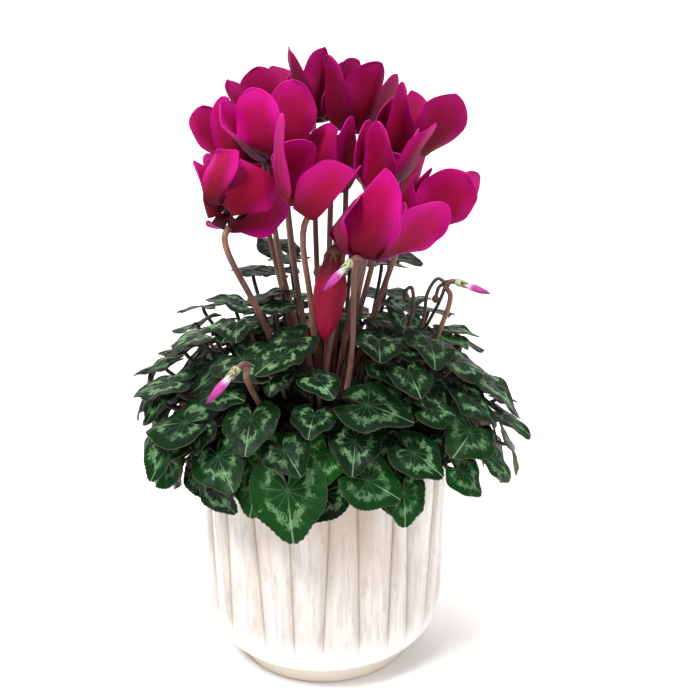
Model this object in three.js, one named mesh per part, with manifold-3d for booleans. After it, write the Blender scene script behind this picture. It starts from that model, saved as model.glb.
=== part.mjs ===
// A potted cyclamen. A round tuber sits half out of the potting mix in a pleated white pot. Leaf tufts
// and flower stems stand in holes in its crown: heart-shaped toothed leaves make a mound that hangs over
// the rim, and nodding blooms with swept-back petals stand above it, with a few furled buds among them.
// Millimetres, +Z up. The origin is the centre of the pot's flat foot, and the plant's front faces -Y.
import * as THREE from "three";
import { mergeVertices } from "three/addons/utils/BufferGeometryUtils.js";
import Module from "manifold-3d";

const wasm = await Module();
wasm.setup();

// Driving dimensions
const GAP = 0.35; // left between pieces that touch
const POT = { height: 115, rim: 66, waist: 64, foot: 47, footHeight: 10, wall: 5, floor: 9 };
const PLEATS = { count: 24, depth: 2.4, sway: 4, top: 95, bottom: 24, fade: 8, lip: 109 };
const SOIL = { top: 103, dome: 3 };
const TUBER = { radius: 32, halfHeight: 14, centre: 100 };
const HOLE = { floor: 103, play: 0.65 };
const MOUND = { wide: 96, deep: 84, height: 78, centre: 120 };
const LEAF = { thickness: 0.9, neck: 3, stalk: 1.1, clearance: 1 };
const FILL = { draws: 150, leaves: 86, first: 88, last: 20, lift: 18, width: 30, rise: -4, apart: 12, tries: 60 };
const TUFTS = { count: 18, foot: 22.5, footRadius: 1.7 };
const PETAL = {
  length: 41,
  width: 26,
  base: 2.2,
  thickness: 1.3,
  cup: 1.6,
  inset: 0.6,
  start: 0.8,
  dive: -75,
  bend: 9,
  twist: 30,
  upright: 15,
};
const TUBE = { mouth: 4.3, neck: 3.4, height: 9 };
const STEM = { radius: 1.5, offset: 8.8, hook: 16.5, spacing: 0.24 };
const BUD_STEM = { radius: 1.3, foot: 25.4 };

// The open blooms: the middle of the mouth, how far and which way the bloom leans (degrees from +Z, and
// from +X about +Z), how wide its petals spread, and its size against PETAL.
const BLOOMS = [
  { mouth: [-43, -44, 241], lean: 60, toward: 60, spread: 24, size: 1.0 },
  { mouth: [-38, 2, 262], lean: 8, toward: 170, spread: 12, size: 0.92 },
  { mouth: [-21, -24, 262], lean: 10, toward: 130, spread: 18, size: 1.04 },
  { mouth: [-27, 30, 273], lean: 8, toward: 150, spread: 16, size: 1.0 },
  { mouth: [2, -4, 250], lean: 10, toward: 60, spread: 28, size: 1.1 },
  { mouth: [-5, 44, 284], lean: 9, toward: 120, spread: 24, size: 1.0 },
  { mouth: [15, 28, 278], lean: 8, toward: 20, spread: 24, size: 1.02 },
  { mouth: [43, 16, 267], lean: 8, toward: 10, spread: 28, size: 1.0 },
  { mouth: [-8, -50, 245], lean: 38, toward: 0, spread: 36, size: 1.08 },
  { mouth: [20, -53, 224], lean: 16, toward: 40, spread: 30, size: 1.1 },
  { mouth: [33, -17, 247], lean: 8, toward: 60, spread: 26, size: 1.04 },
  { mouth: [46, -22, 234], lean: 20, toward: 20, spread: 24, size: 1.0 },
  { mouth: [-38, 46, 240], lean: 16, toward: 160, spread: 24, size: 0.95 },
  { mouth: [34, 58, 242], lean: 14, toward: 70, spread: 24, size: 0.95 },
];
// The furled ones: the middle of the calyx, the way the tip points, the size of the furled petals, the
// bearing of the stem's foot, and the points its stem passes on the way up.
const BUDS = [
  {
    calyx: [7, -46, 222],
    points: [-0.12, -0.06, -1],
    length: 40,
    width: 16,
    foot: -100,
    via: [[1, -33, 150], [8, -34, 205]],
  },
  {
    calyx: [12, -66, 219],
    points: [-0.75, -0.35, -0.75],
    length: 14,
    width: 3.8,
    foot: -80,
    via: [[11, -46, 150], [15, -57, 180]],
  },
  {
    calyx: [-36, -84, 176],
    points: [-0.65, -0.3, -0.7],
    length: 16,
    width: 4,
    foot: -120,
    via: [[-22, -48, 140], [-30, -70, 166]],
  },
  {
    calyx: [69, -22, 204],
    points: [0.9, -0.15, -0.3],
    length: 14,
    width: 3.8,
    foot: -20,
    via: [[40, -15, 145], [58, -20, 180]],
  },
];
// The leaves that shape the mound's front and sides: the bearing of the stalk's end, how far down from the
// mound's top it lies, how much the blade lifts off the mound and how far its tip turns (all degrees), and
// the blade's width. The rest of the mound is filled in by rule.
const LEAVES = [
  [-98, 88, 12, 6, 36],
  [-110, 66, 35, 12, 27],
  [-133, 71, 45, -65, 33],
  [-151, 61, 45, -37, 29],
  [-178, 60, 45, 9, 25],
  [-99, 75, 43, 37, 22],
  [-111, 82, 50, 52, 30],
  [-77, 85, 27, 57, 26],
  [-63, 78, 35, 43, 25],
  [-67, 91, 24, -8, 23],
  [-41, 76, 36, -71, 29],
  [-46, 89, 34, 34, 22],
  [-28, 90, 35, 29, 23],
  [-11, 79, 48, 9, 28],
  [-4, 72, 54, 40, 21],
  [-54, 65, 22, 67, 20],
  [-75, 61, 38, 63, 32],
  [-90, 61, 42, 5, 21],
  [-90, 52, 39, 31, 20],
  [-96, 48, 12, -3, 23],
  [-103, 35, 12, -7, 30],
  [-118, 45, 18, 67, 31],
  [-161, 42, 20, -53, 31],
  [166, 29, 50, 22, 24],
  [-19, 36, 5, -49, 28],
  [7, 45, 40, -13, 23],
  [-29, 52, 21, 61, 29],
  [-63, 39, 23, -25, 22],
  [-57, 52, 29, -13, 23],
  [-117, 57, 31, 75, 23],
  [-136, 80, 45, 30, 27],
];

const { PI, sin, cos, sqrt, exp, abs, max, min } = Math;
const { degToRad, lerp, clamp, smoothstep } = THREE.MathUtils;
const vec = (x, y, z) => new THREE.Vector3(x, y, z);
const UP = vec(0, 0, 1);

// A number from -1 to 1 that is always the same for the same n, so every build draws the same plant.
function sway(n) {
  const wave = sin(n * 12.9898 + 78.233) * 43758.5453;
  return 2 * (wave - Math.floor(wave)) - 1;
}

function solidOf(geometry) {
  const bare = geometry.clone();
  bare.deleteAttribute("normal");
  bare.deleteAttribute("uv");
  const merged = mergeVertices(bare, 1e-4);
  return new wasm.Manifold(
    new wasm.Mesh({
      numProp: 3,
      vertProperties: new Float32Array(merged.attributes.position.array),
      triVerts: new Uint32Array(merged.index.array),
    }),
  );
}

function geometryOf(points, triangles) {
  return new THREE.BufferGeometry().setFromPoints(points).setIndex(triangles.flat());
}

const joined = (solids) => solids.reduce((whole, solid) => whole.add(solid));

function meshOf(name, solid, material) {
  const mesh = solid.getMesh();
  const geometry = new THREE.BufferGeometry();
  geometry.setAttribute("position", new THREE.BufferAttribute(mesh.vertProperties, 3));
  geometry.setIndex(new THREE.BufferAttribute(mesh.triVerts, 1));
  geometry.computeVertexNormals();
  const made = new THREE.Mesh(geometry, material);
  made.name = name;
  return made;
}

const numbered = (word, index) => `${word}_${String(index + 1).padStart(2, "0")}`;

// A curve whose even steps fall on its own points, so a tube has its rings where the bends are.
class Route extends THREE.CatmullRomCurve3 {
  getUtoTmapping(u) {
    return u;
  }
}

function tube(points, radius, sides) {
  const section = new THREE.Shape(
    Array.from({ length: sides }, (_, i) => {
      const angle = (2 * PI * i) / sides;
      return new THREE.Vector2(radius * cos(angle), radius * sin(angle));
    }),
  );
  const options = { steps: points.length - 1, bevelEnabled: false, extrudePath: new Route(points) };
  return solidOf(new THREE.ExtrudeGeometry(section, options));
}

// An upright plug or hole from one height to another.
function post(x, y, radius, bottom, top) {
  const geometry = new THREE.CylinderGeometry(radius, radius, top - bottom, 4);
  geometry.rotateX(PI / 2);
  geometry.translate(x, y, (top + bottom) / 2);
  return solidOf(geometry);
}

// Materials
const skin = (color, roughness) => new THREE.MeshStandardMaterial({ color, roughness, metalness: 0 });
const GLAZE = skin(0xece6dc, 0.3);
const MIX = skin(0x2e2017, 0.95);
const CORK = skin(0x6b4a34, 0.85);
const LEAF_GREEN = skin(0x1f4a2c, 0.55);
const STEM_BROWN = skin(0x6d3a30, 0.5);
const MAGENTA = skin(0xb00a5e, 0.6);
const BUD_PINK = skin(0xd23ab8, 0.6);

// Pot: a turned profile whose outside is pressed into pleats. Each crease leans a little its own way, and
// fades out below the rim and above the rounded foot.
const POT_PROFILE = [
  [0, 0],
  [POT.foot, 0],
  [POT.foot + 1, POT.footHeight],
  [58, 15],
  [POT.waist - 0.4, PLEATS.bottom],
  [POT.waist + 0.4, 33],
  [POT.rim, PLEATS.lip],
  [POT.rim - 1, POT.height],
  [0, POT.height],
];
const POT_HOLLOW = [
  [0, POT.floor],
  [POT.foot - 2, POT.floor],
  [POT.rim - POT.wall - 1, 30],
  [POT.rim - POT.wall, PLEATS.lip],
  [POT.rim - POT.wall + 1, POT.height],
  [POT.rim - POT.wall + 1, POT.height + 1],
  [0, POT.height + 1],
];

const POINTS_PER_PLEAT = 2;
const INNER_SIDES = 20;
const CREASE_SEEDS = { foot: 37.35, top: 36.85 };

// The angle of a crease at a height: even steps round the pot, plus its own offsets at foot and top.
function creaseAngle(i, z) {
  const n = (i + 18) % PLEATS.count;
  const share = (z - PLEATS.bottom) / (PLEATS.top - PLEATS.bottom);
  const offset = lerp(sway(n + CREASE_SEEDS.foot), sway(n + CREASE_SEEDS.top), share);
  return degToRad((360 * i) / PLEATS.count + PLEATS.sway * offset);
}

function pleated(angle, z) {
  const columns = PLEATS.count * POINTS_PER_PLEAT;
  const column = Math.round((angle / (2 * PI)) * columns);
  const pleat = Math.floor(column / POINTS_PER_PLEAT);
  const across = (column % POINTS_PER_PLEAT) / POINTS_PER_PLEAT;
  const begun = smoothstep(z, PLEATS.bottom - PLEATS.fade, PLEATS.bottom + PLEATS.fade);
  const fade = begun * (1 - smoothstep(z, PLEATS.lip, POT.height + 4));
  return {
    angle: lerp(creaseAngle(pleat, z), creaseAngle(pleat + 1, z), across),
    depth: PLEATS.depth * fade * (1 - sin(PI * across) ** 0.7),
  };
}

function turned(profile, sides) {
  const outline = profile.map(([r, z]) => new THREE.Vector2(r, z));
  return new THREE.LatheGeometry(outline, sides).rotateX(PI / 2);
}

function makePot() {
  const geometry = turned(POT_PROFILE, PLEATS.count * POINTS_PER_PLEAT);
  const at = geometry.attributes.position;
  for (let i = 0; i < at.count; i++) {
    const [x, y, z] = [at.getX(i), at.getY(i), at.getZ(i)];
    const radius = Math.hypot(x, y);
    if (radius < 1 || z < POT.footHeight + 1) continue;
    const { angle, depth } = pleated((Math.atan2(y, x) + 2 * PI) % (2 * PI), z);
    at.setXY(i, (radius - depth) * cos(angle), (radius - depth) * sin(angle));
  }
  return solidOf(geometry).subtract(solidOf(turned(POT_HOLLOW, INNER_SIDES)));
}

// Soil: fills the pot to just under the rim, with a hollow for the tuber.
function tuberBody(grow) {
  const geometry = new THREE.SphereGeometry(1, 14, 7);
  geometry.rotateX(PI / 2);
  geometry.scale(TUBER.radius + grow, TUBER.radius + grow, TUBER.halfHeight + grow);
  geometry.translate(0, 0, TUBER.centre);
  return solidOf(geometry);
}

function makeSoil() {
  const wall = (POT.rim - POT.wall) * cos(PI / INNER_SIDES) - GAP;
  const outline = [
    [0, POT.floor + GAP],
    [POT.foot - 3, POT.floor + GAP],
    [wall - 1.5, 30],
    [wall - 0.6, SOIL.top],
    [46, SOIL.top + 1.2],
    [TUBER.radius - 2, SOIL.top + SOIL.dome],
    [0, SOIL.top + SOIL.dome],
  ];
  return solidOf(turned(outline, INNER_SIDES)).subtract(tuberBody(GAP));
}

// Leaves: each blade is a toothed heart around the point where its stalk joins it.
function edgeDistance(angle) {
  const tip = 0.18 * exp(-((angle / 0.38) ** 2));
  const notch = 0.45 * exp(-(((PI - abs(angle)) / 0.24) ** 2));
  return 0.5 + tip - notch;
}

// Height of the blade over its stalk's end, as shares of its width: it arches towards the tip, its sides
// fall, it folds a little along the midrib and its edge waves.
function bladeHeight(p, q, wave) {
  const arch = 0.24 * max(p, 0) ** 2 + 0.1 * min(p, 0) ** 2;
  const fold = 0.1 * (sqrt(q * q + 0.004) - 0.063);
  const ripple = 0.035 * sin(3 * Math.atan2(q, p) + wave) * min(1, (p * p + q * q) / 0.2);
  return fold + ripple - arch - 0.22 * q * q;
}

const EDGE_POINTS = 12;

// Where a leaf stands: the stalk's end, the axes of its blade and the route of its stalk.
function leafPlace({ bearing, fall, lift, turn, rise, width, wave }) {
  const [b, f, l] = [bearing, fall, lift].map(degToRad);
  const radial = vec(sin(f) * cos(b), sin(f) * sin(b), cos(f));
  const downhill = vec(cos(f) * cos(b), cos(f) * sin(b), -sin(f));
  const end = vec(MOUND.wide * radial.x, MOUND.deep * radial.y, MOUND.centre + MOUND.height * radial.z);
  end.addScaledVector(radial, rise);
  const tip = downhill.clone().multiplyScalar(cos(l)).addScaledVector(radial, sin(l));
  const normal = radial.multiplyScalar(cos(l)).addScaledVector(downhill, -sin(l));
  tip.applyAxisAngle(normal, degToRad(turn));
  const tuft = Math.floor((((bearing + 720) % 360) / 360) * TUFTS.count);
  const place = { tuft, end, tip, normal, across: normal.clone().cross(tip), width, wave };
  return { ...place, stalk: stalkRoute(place) };
}

const crownHeight = (r) => TUBER.centre + TUBER.halfHeight * sqrt(1 - (r / TUBER.radius) ** 2);

function tuftFoot(tuft) {
  const angle = (2 * PI * (tuft + 0.5)) / TUFTS.count;
  return vec(TUFTS.foot * cos(angle), TUFTS.foot * sin(angle), crownHeight(TUFTS.foot) + 2);
}

// A stalk arches up and out under the mound, and those of the lowest leaves clear the pot's rim.
function stalkRoute({ tuft, end, normal }) {
  const foot = tuftFoot(tuft);
  const low = clamp((152 - end.z) / 36, 0, 1);
  const middle = vec(end.x, end.y, 0).multiplyScalar(0.5).addScaledVector(vec(foot.x, foot.y, 0), 0.5);
  middle.z = (foot.z + end.z) / 2 + 2 + 34 * low;
  const neck = end.clone().addScaledVector(normal, -LEAF.neck);
  return [...new THREE.QuadraticBezierCurve3(foot, middle, neck).getPoints(2), end.clone()];
}

// Points along a route, no further apart than the spacing.
function beadsAlong(points, spacing) {
  const beads = [points[0]];
  for (let i = 1; i < points.length; i++) {
    const count = Math.ceil(points[i].distanceTo(points[i - 1]) / spacing);
    for (let k = 1; k <= count; k++) beads.push(points[i - 1].clone().lerp(points[i], k / count));
  }
  return beads;
}

function onBlade({ end, tip, across, normal, width, wave }, p, q, rise) {
  return end
    .clone()
    .addScaledVector(tip, p * width)
    .addScaledVector(across, q * width)
    .addScaledVector(normal, bladeHeight(p, q, wave) * width + rise);
}

function bladeBeads(place) {
  const beads = [onBlade(place, 0, 0, 0), onBlade(place, 0, 0, -LEAF.neck)];
  for (const [share, count] of [[1.03, 28], [0.65, 14]]) {
    for (let i = 0; i < count; i++) {
      const angle = (2 * PI * (i + 0.5)) / count - PI;
      const reach = edgeDistance(angle) * share;
      beads.push(onBlade(place, reach * cos(angle), reach * sin(angle), 0));
    }
  }
  return beads;
}

// Whether a string of beads stays wholly over or wholly under a blade wherever it passes it.
function passesBlade(beads, radius, { end, tip, across, normal, width, wave }) {
  const room = radius + LEAF.clearance;
  const offset = vec(0, 0, 0);
  let [over, under] = [true, true];
  for (const bead of beads) {
    offset.subVectors(bead, end);
    const [p, q] = [offset.dot(tip) / width, offset.dot(across) / width];
    if (Math.hypot(p, q) > edgeDistance(Math.atan2(q, p)) * 1.03 + room / width) continue;
    const height = offset.dot(normal) - bladeHeight(p, q, wave) * width;
    over = over && height > room;
    under = under && height < -room;
    if (!over && !under) return false;
  }
  return true;
}

const apart = (beads, others, room) => beads.every((a) => others.every((b) => a.distanceTo(b) > room));

// A leaf is drawn again, a little further off its first place each time, until it crosses nothing.
function draftedLeaf([bearing, fall, lift, turn, width, rise], n, attempt) {
  const loose = min(1, attempt / 12);
  const draw = (salt) => sway(n + 0.037 * attempt + salt);
  return leafPlace({
    bearing: bearing + 11 * loose * draw(0.11),
    fall: fall + 8 * loose * draw(0.22),
    lift: lift + 14 * loose * draw(0.33),
    turn: turn + 35 * loose * draw(0.44),
    rise: rise + 5 * loose * draw(0.55),
    width: width * (1 - 0.08 * loose * (1 + draw(0.66))),
    wave: PI * draw(0.77),
  });
}

// A row drawn by rule: two even sequences spread the leaves over the mound.
const EVEN = { turn: 360 * 0.56984, fall: 0.75488 };

function fillRow(i) {
  const share = (EVEN.fall * (i + 1)) % 1;
  const [first, last] = [FILL.first, FILL.last].map((fall) => cos(degToRad(fall)));
  const fall = Math.acos(lerp(last, first, share)) / degToRad(1);
  const [lift, turn, width, rise] = [0, 0.1, 0.2, 0.3].map((salt) => sway(500 + i + salt));
  return [EVEN.turn * i, fall, FILL.lift + 10 * lift, 45 * turn, FILL.width + 4 * width, FILL.rise + 3 * rise];
}

// Stems and furled buds, as strings of beads that the leaves keep clear of.
function stemBeads() {
  const blooms = BLOOMS.map((bloom) => [beadsAlong(bloomStemRoute(bloom).slice(1, 6), 2.5), STEM.radius]);
  const buds = BUDS.map((bud) => [beadsAlong(budStemRoute(bud).slice(1), 2.5), BUD_STEM.radius]);
  const furls = BUDS.map(({ calyx, points, length, width }) => {
    const from = vec(...calyx);
    const to = from.clone().addScaledVector(vec(...points).normalize(), length);
    return [beadsAlong([from, to], 2), width / 2];
  });
  return [...blooms, ...buds, ...furls];
}

function placedLeaves() {
  const stems = stemBeads();
  const placed = [];
  const drawn = Array.from({ length: FILL.draws }, (_, i) => fillRow(i));
  const rows = [...LEAVES.map((row) => [...row, 0]), ...drawn];
  rows.forEach((row, n) => {
    for (let attempt = 0; attempt < FILL.tries && placed.length < FILL.leaves; attempt++) {
      const leaf = draftedLeaf(row, n, attempt);
      leaf.blade = bladeBeads(leaf);
      leaf.beads = beadsAlong(leaf.stalk, 3);
      const clear =
        placed.every((other) => other.end.distanceTo(leaf.end) > FILL.apart) &&
        stems.every(([beads, radius]) => passesBlade(beads, radius, leaf)) &&
        stems.every(([beads, radius]) => apart(leaf.beads, beads, radius + LEAF.stalk + 0.5)) &&
        placed.every(
          (other) =>
            passesBlade(other.blade, 0.45, leaf) &&
            passesBlade(leaf.blade, 0.45, other) &&
            passesBlade(other.beads, LEAF.stalk, leaf) &&
            passesBlade(leaf.beads, LEAF.stalk, other),
        );
      if (clear) {
        placed.push(leaf);
        return;
      }
    }
  });
  return placed;
}

function makeBlade(place) {
  const ring = (i, share, rise) => {
    const angle = PI - (2 * PI * i) / EDGE_POINTS;
    const tooth = share === 1 ? (i % 2 ? 0.965 : 1.035) : 1;
    const reach = edgeDistance(angle) * share * tooth;
    return onBlade(place, reach * cos(angle), reach * sin(angle), rise);
  };
  const points = [];
  for (let i = 0; i < EDGE_POINTS; i++) points.push(ring(i, 1, 0));
  for (const side of [0.5, -0.5]) {
    for (let i = 0; i < EDGE_POINTS; i += 2) points.push(ring(i, 0.5, side * LEAF.thickness));
  }
  const half = EDGE_POINTS / 2;
  const triangles = [];
  const face = (inner, flip) => {
    const add = (a, b, c) => triangles.push(flip ? [a, c, b] : [a, b, c]);
    for (let i = 0; i < half; i++) {
      const [here, next] = [inner + i, inner + ((i + 1) % half)];
      const [a, b, c] = [0, 1, 2].map((step) => (2 * i + step) % EDGE_POINTS);
      add(here, b, a);
      add(here, next, b);
      add(next, c, b);
    }
    add(inner, inner + 4, inner + 2);
    for (let i = 0; i < half; i += 2) add(inner + i, inner + ((i + 2) % half), inner + i + 1);
  };
  face(EDGE_POINTS, false);
  face(EDGE_POINTS + half, true);
  return solidOf(geometryOf(points, triangles));
}

function makeTuft(tuft, leaves) {
  const foot = tuftFoot(tuft);
  const solids = [post(foot.x, foot.y, TUFTS.footRadius, HOLE.floor + GAP, foot.z + 1)];
  for (const leaf of leaves) solids.push(tube(leaf.stalk, LEAF.stalk, 3), makeBlade(leaf));
  return joined(solids);
}

// Blooms: in a bloom's own frame the mouth is at the origin, +Z runs up to the calyx, and +X points to
// the side on which the stem stands.
function bloomFrame({ mouth, lean, toward }) {
  const origin = vec(...mouth);
  const tilt = degToRad(lean);
  const up = vec(sin(tilt) * cos(degToRad(toward)), sin(tilt) * sin(degToRad(toward)), cos(tilt));
  const home = vec(-mouth[0], -mouth[1], -90).normalize();
  const side = home.addScaledVector(up, -home.dot(up)).normalize();
  const basis = new THREE.Matrix4().makeBasis(side, up.clone().cross(side), up);
  return new THREE.Matrix4().makeTranslation(...origin).multiply(basis);
}

const halfWidth = (x) => {
  const grown = smoothstep(x, 0.16, 0.6);
  const beyond = clamp((x - 0.6) / 0.4, 0, 1);
  return lerp(PETAL.base, PETAL.width / 2, grown) * (1 - beyond ** 2.6) ** 0.62;
};

// A petal's spine starts at the mouth pointing down, bends back through BEND of its length and then
// climbs, leaning out by the spread. Its sides twist about the spine like a propeller's.
function petalPoint(x, across, petal) {
  const steps = 24;
  let [r, z] = [TUBE.mouth - PETAL.inset, PETAL.start];
  let slope = 0;
  const end = degToRad(90 - petal.spread);
  for (let i = 0; i < steps; i++) {
    const s = ((i + 0.5) / steps) * x * petal.length;
    const swept = end + degToRad(petal.curl) * (s / petal.length) ** 2;
    slope = lerp(degToRad(PETAL.dive), swept, smoothstep(s, 0, PETAL.bend));
    const step = (x * petal.length) / steps;
    r += cos(slope) * step;
    z += sin(slope) * step;
  }
  const twist = degToRad(petal.twist) * smoothstep(x, 0.15, 0.7);
  const w = halfWidth(x) * across * petal.size;
  const cup = PETAL.cup * (1 - across * across) * smoothstep(x, 0.1, 0.5) * (1 - x) * 2;
  const out = cup + w * sin(twist);
  const local = vec(r + sin(slope) * out, w * cos(twist), z - cos(slope) * out);
  return local.applyAxisAngle(UP, petal.azimuth);
}

const PETAL_STATIONS = [0, 0.14, 0.32, 0.6, 0.86, 1];

function petalShape(bloom, index, k) {
  const n = 1000 + index * 10 + k;
  return {
    azimuth: degToRad(36 + 72 * k),
    length: PETAL.length * bloom.size * (1 + 0.05 * sway(n)),
    size: bloom.size,
    spread: max(bloom.spread + 12 * sway(n + 0.3), PETAL.upright),
    curl: 20 * sway(n + 0.6),
    twist: PETAL.twist + 18 * sway(n + 0.9),
  };
}

// Where two blooms meet, their petals press against the plane midway between them and flatten there.
const PRESS = { reach: 5, gap: 0.95, rounds: 4 };
const heartOf = ({ mouth: [x, y, z], lean, toward }) => {
  const tilt = degToRad(lean);
  const along = 14;
  return vec(
    x + along * sin(tilt) * cos(degToRad(toward)),
    y + along * sin(tilt) * sin(degToRad(toward)),
    z + along * cos(tilt),
  );
};

function pressed(point, index) {
  const own = heartOf(BLOOMS[index]);
  for (let round = 0; round < PRESS.rounds; round++) {
    BLOOMS.forEach((other, j) => {
      if (j === index) return;
      const away = heartOf(other).sub(own);
      const middle = away.length() / 2;
      away.normalize();
      const depth = point.clone().sub(own).dot(away) - middle;
      const into = depth + PRESS.reach;
      if (into <= 0) return;
      const kept = (PRESS.reach - PRESS.gap) * (1 - exp(-into / PRESS.reach)) - PRESS.reach;
      point.addScaledVector(away, min(kept, -PRESS.gap) - depth);
    });
  }
  return point;
}

function makePetal(bloom, index, k, frame) {
  const petal = petalShape(bloom, index, k);
  const place = (x, across) => pressed(petalPoint(x, across, petal).applyMatrix4(frame), index);
  const points = [];
  for (const x of PETAL_STATIONS.slice(0, -1)) {
    const [left, middle, right] = [-1, 0, 1].map((across) => place(x, across));
    const along = place(x + 0.02, 0).sub(middle);
    const outward = right.clone().sub(left).cross(along).setLength(PETAL.thickness / 2);
    points.push(left, middle.clone().add(outward), right, middle.clone().sub(outward));
  }
  const tip = points.push(place(1, 0)) - 1;
  const triangles = [
    [0, 2, 1],
    [0, 3, 2],
  ];
  for (let i = 0; i + 4 < tip; i += 4) {
    for (let j = 0; j < 4; j++) {
      const [a, b] = [i + j, i + ((j + 1) % 4)];
      triangles.push([a, b, b + 4], [a, b + 4, a + 4]);
    }
  }
  for (let j = 0; j < 4; j++) triangles.push([tip - 4 + j, tip - 4 + ((j + 1) % 4), tip]);
  return solidOf(geometryOf(points, triangles));
}

function makeCorolla(bloom, index) {
  const frame = bloomFrame(bloom);
  const throat = new THREE.CylinderGeometry(TUBE.neck, TUBE.mouth, TUBE.height, 5);
  throat.rotateX(PI / 2);
  throat.translate(0, 0, TUBE.height / 2);
  throat.applyMatrix4(frame);
  const solids = [solidOf(throat)];
  for (let k = 0; k < 5; k++) solids.push(makePetal(bloom, index, k, frame));
  return joined(solids);
}

// Stems fan out of the crown like spokes that never meet: each keeps its own bearing, and its distance
// from the axis is a share that depends only on the height.
const fanShare = (z) => lerp(STEM.spacing, 1, smoothstep(z, 112, 262) ** 1.15);

function bloomStemRoute(bloom) {
  const frame = bloomFrame(bloom);
  const own = (x, z) => vec(x, 0, z).applyMatrix4(frame);
  const below = own(STEM.offset + 0.6, -7);
  const bearing = vec(below.x, below.y, 0).divideScalar(fanShare(below.z));
  const fan = [0.33, 0.68].map((share) => {
    const z = lerp(crownHeight(0), below.z, share);
    return bearing.clone().multiplyScalar(fanShare(z)).setZ(z);
  });
  const foot = bearing.multiplyScalar(STEM.spacing).setZ(HOLE.floor + GAP);
  const hook = STEM.offset / 2;
  const bend = [35, 90, 145].map((angle) => {
    const turn = degToRad(angle);
    return own(hook + hook * cos(turn), STEM.hook - 4 + hook * sin(turn));
  });
  return [foot, foot.clone().setZ(114), ...fan, below, own(STEM.offset, 8), ...bend, own(0, TUBE.height + 1)];
}

function makeBloomStem(bloom) {
  const calyx = new THREE.CylinderGeometry(1.8, TUBE.neck + 0.2, 3.2, 5);
  calyx.rotateX(PI / 2);
  calyx.translate(0, 0, TUBE.height + GAP + 1.6);
  calyx.applyMatrix4(bloomFrame(bloom));
  return tube(bloomStemRoute(bloom), STEM.radius, 4).add(solidOf(calyx));
}

// Buds: the petals are still furled into a spindle that points away from the calyx.
function budFrame({ calyx, points }) {
  const up = vec(...points).normalize().negate();
  const home = vec(-calyx[0], -calyx[1], -90).normalize();
  const side = home.addScaledVector(up, -home.dot(up)).normalize();
  const basis = new THREE.Matrix4().makeBasis(side, up.clone().cross(side), up);
  return new THREE.Matrix4().makeTranslation(...calyx).multiply(basis);
}

function makeFurl(bud) {
  const { length, width } = bud;
  const outline = [
    [0, -length],
    [width * 0.16, -length * 0.93],
    [width * 0.42, -length * 0.66],
    [width * 0.5, -length * 0.4],
    [width * 0.34, -length * 0.14],
    [width * 0.2 + 0.6, 0],
    [0, 0],
  ].map(([r, z]) => new THREE.Vector2(r, z));
  const geometry = new THREE.LatheGeometry(outline, 6);
  geometry.rotateX(PI / 2);
  const at = geometry.attributes.position;
  for (let i = 0; i < at.count; i++) {
    const turn = (at.getZ(i) / length) * 1.2;
    const [x, y] = [at.getX(i), at.getY(i)];
    at.setXY(i, x * cos(turn) - y * sin(turn), x * sin(turn) + y * cos(turn));
  }
  return solidOf(geometry.applyMatrix4(budFrame(bud)));
}

function budStemRoute(bud) {
  const frame = budFrame(bud);
  const own = (x, z) => vec(x, 0, z).applyMatrix4(frame);
  const bearing = degToRad(bud.foot);
  const foot = vec(BUD_STEM.foot * cos(bearing), BUD_STEM.foot * sin(bearing), HOLE.floor + GAP);
  const via = bud.via.map((point) => vec(...point));
  return [foot, foot.clone().setZ(112), ...via, own(7.4, 4), own(4, 7.5), own(0.8, 6), own(0, 2)];
}

function makeBudStem(bud) {
  const cap = new THREE.CylinderGeometry(1.4, bud.width * 0.2 + 1.6, 4, 5);
  cap.rotateX(PI / 2);
  cap.translate(0, 0, GAP + 2);
  return tube(budStemRoute(bud), BUD_STEM.radius, 4).add(solidOf(cap.applyMatrix4(budFrame(bud))));
}

// Tuber: its crown has a plain hole for every foot.
function makeTuber() {
  const holes = [
    ...BLOOMS.map((bloom) => [bloomStemRoute(bloom)[0], STEM.radius]),
    ...BUDS.map((bud) => [budStemRoute(bud)[0], BUD_STEM.radius]),
    ...Array.from({ length: TUFTS.count }, (_, tuft) => [tuftFoot(tuft), TUFTS.footRadius]),
  ];
  return holes.reduce(
    (solid, [{ x, y }, radius]) => solid.subtract(post(x, y, radius + HOLE.play, HOLE.floor, 120)),
    tuberBody(0),
  );
}

// Assembly
const plant = new THREE.Group();
const group = (name) => {
  const made = new THREE.Group();
  made.name = name;
  plant.add(made);
  return made;
};
const holder = group("pot_and_soil");
holder.add(meshOf("pot", makePot(), GLAZE));
holder.add(meshOf("soil", makeSoil(), MIX));
holder.add(meshOf("tuber", makeTuber(), CORK));

const foliage = group("foliage");
const leaves = placedLeaves();
for (let tuft = 0; tuft < TUFTS.count; tuft++) {
  const own = leaves.filter((leaf) => leaf.tuft === tuft);
  foliage.add(meshOf(numbered("leaf_tuft", tuft), makeTuft(tuft, own), LEAF_GREEN));
}

const flowers = group("flowers");
BLOOMS.forEach((bloom, i) => {
  flowers.add(meshOf(numbered("bloom", i), makeCorolla(bloom, i), MAGENTA));
  flowers.add(meshOf(numbered("bloom_stem", i), makeBloomStem(bloom), STEM_BROWN));
});
BUDS.forEach((bud, i) => {
  flowers.add(meshOf(numbered("bud", i), makeFurl(bud), BUD_PINK));
  flowers.add(meshOf(numbered("bud_stem", i), makeBudStem(bud), STEM_BROWN));
});

export default plant;
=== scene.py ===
"""A potted cyclamen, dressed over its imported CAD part. Shapes are worked out in millimetres, in the
part's own frame, and go into their meshes in metres."""
from math import acos, ceil, cos, degrees, floor, pi, radians, sin, sqrt

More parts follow.
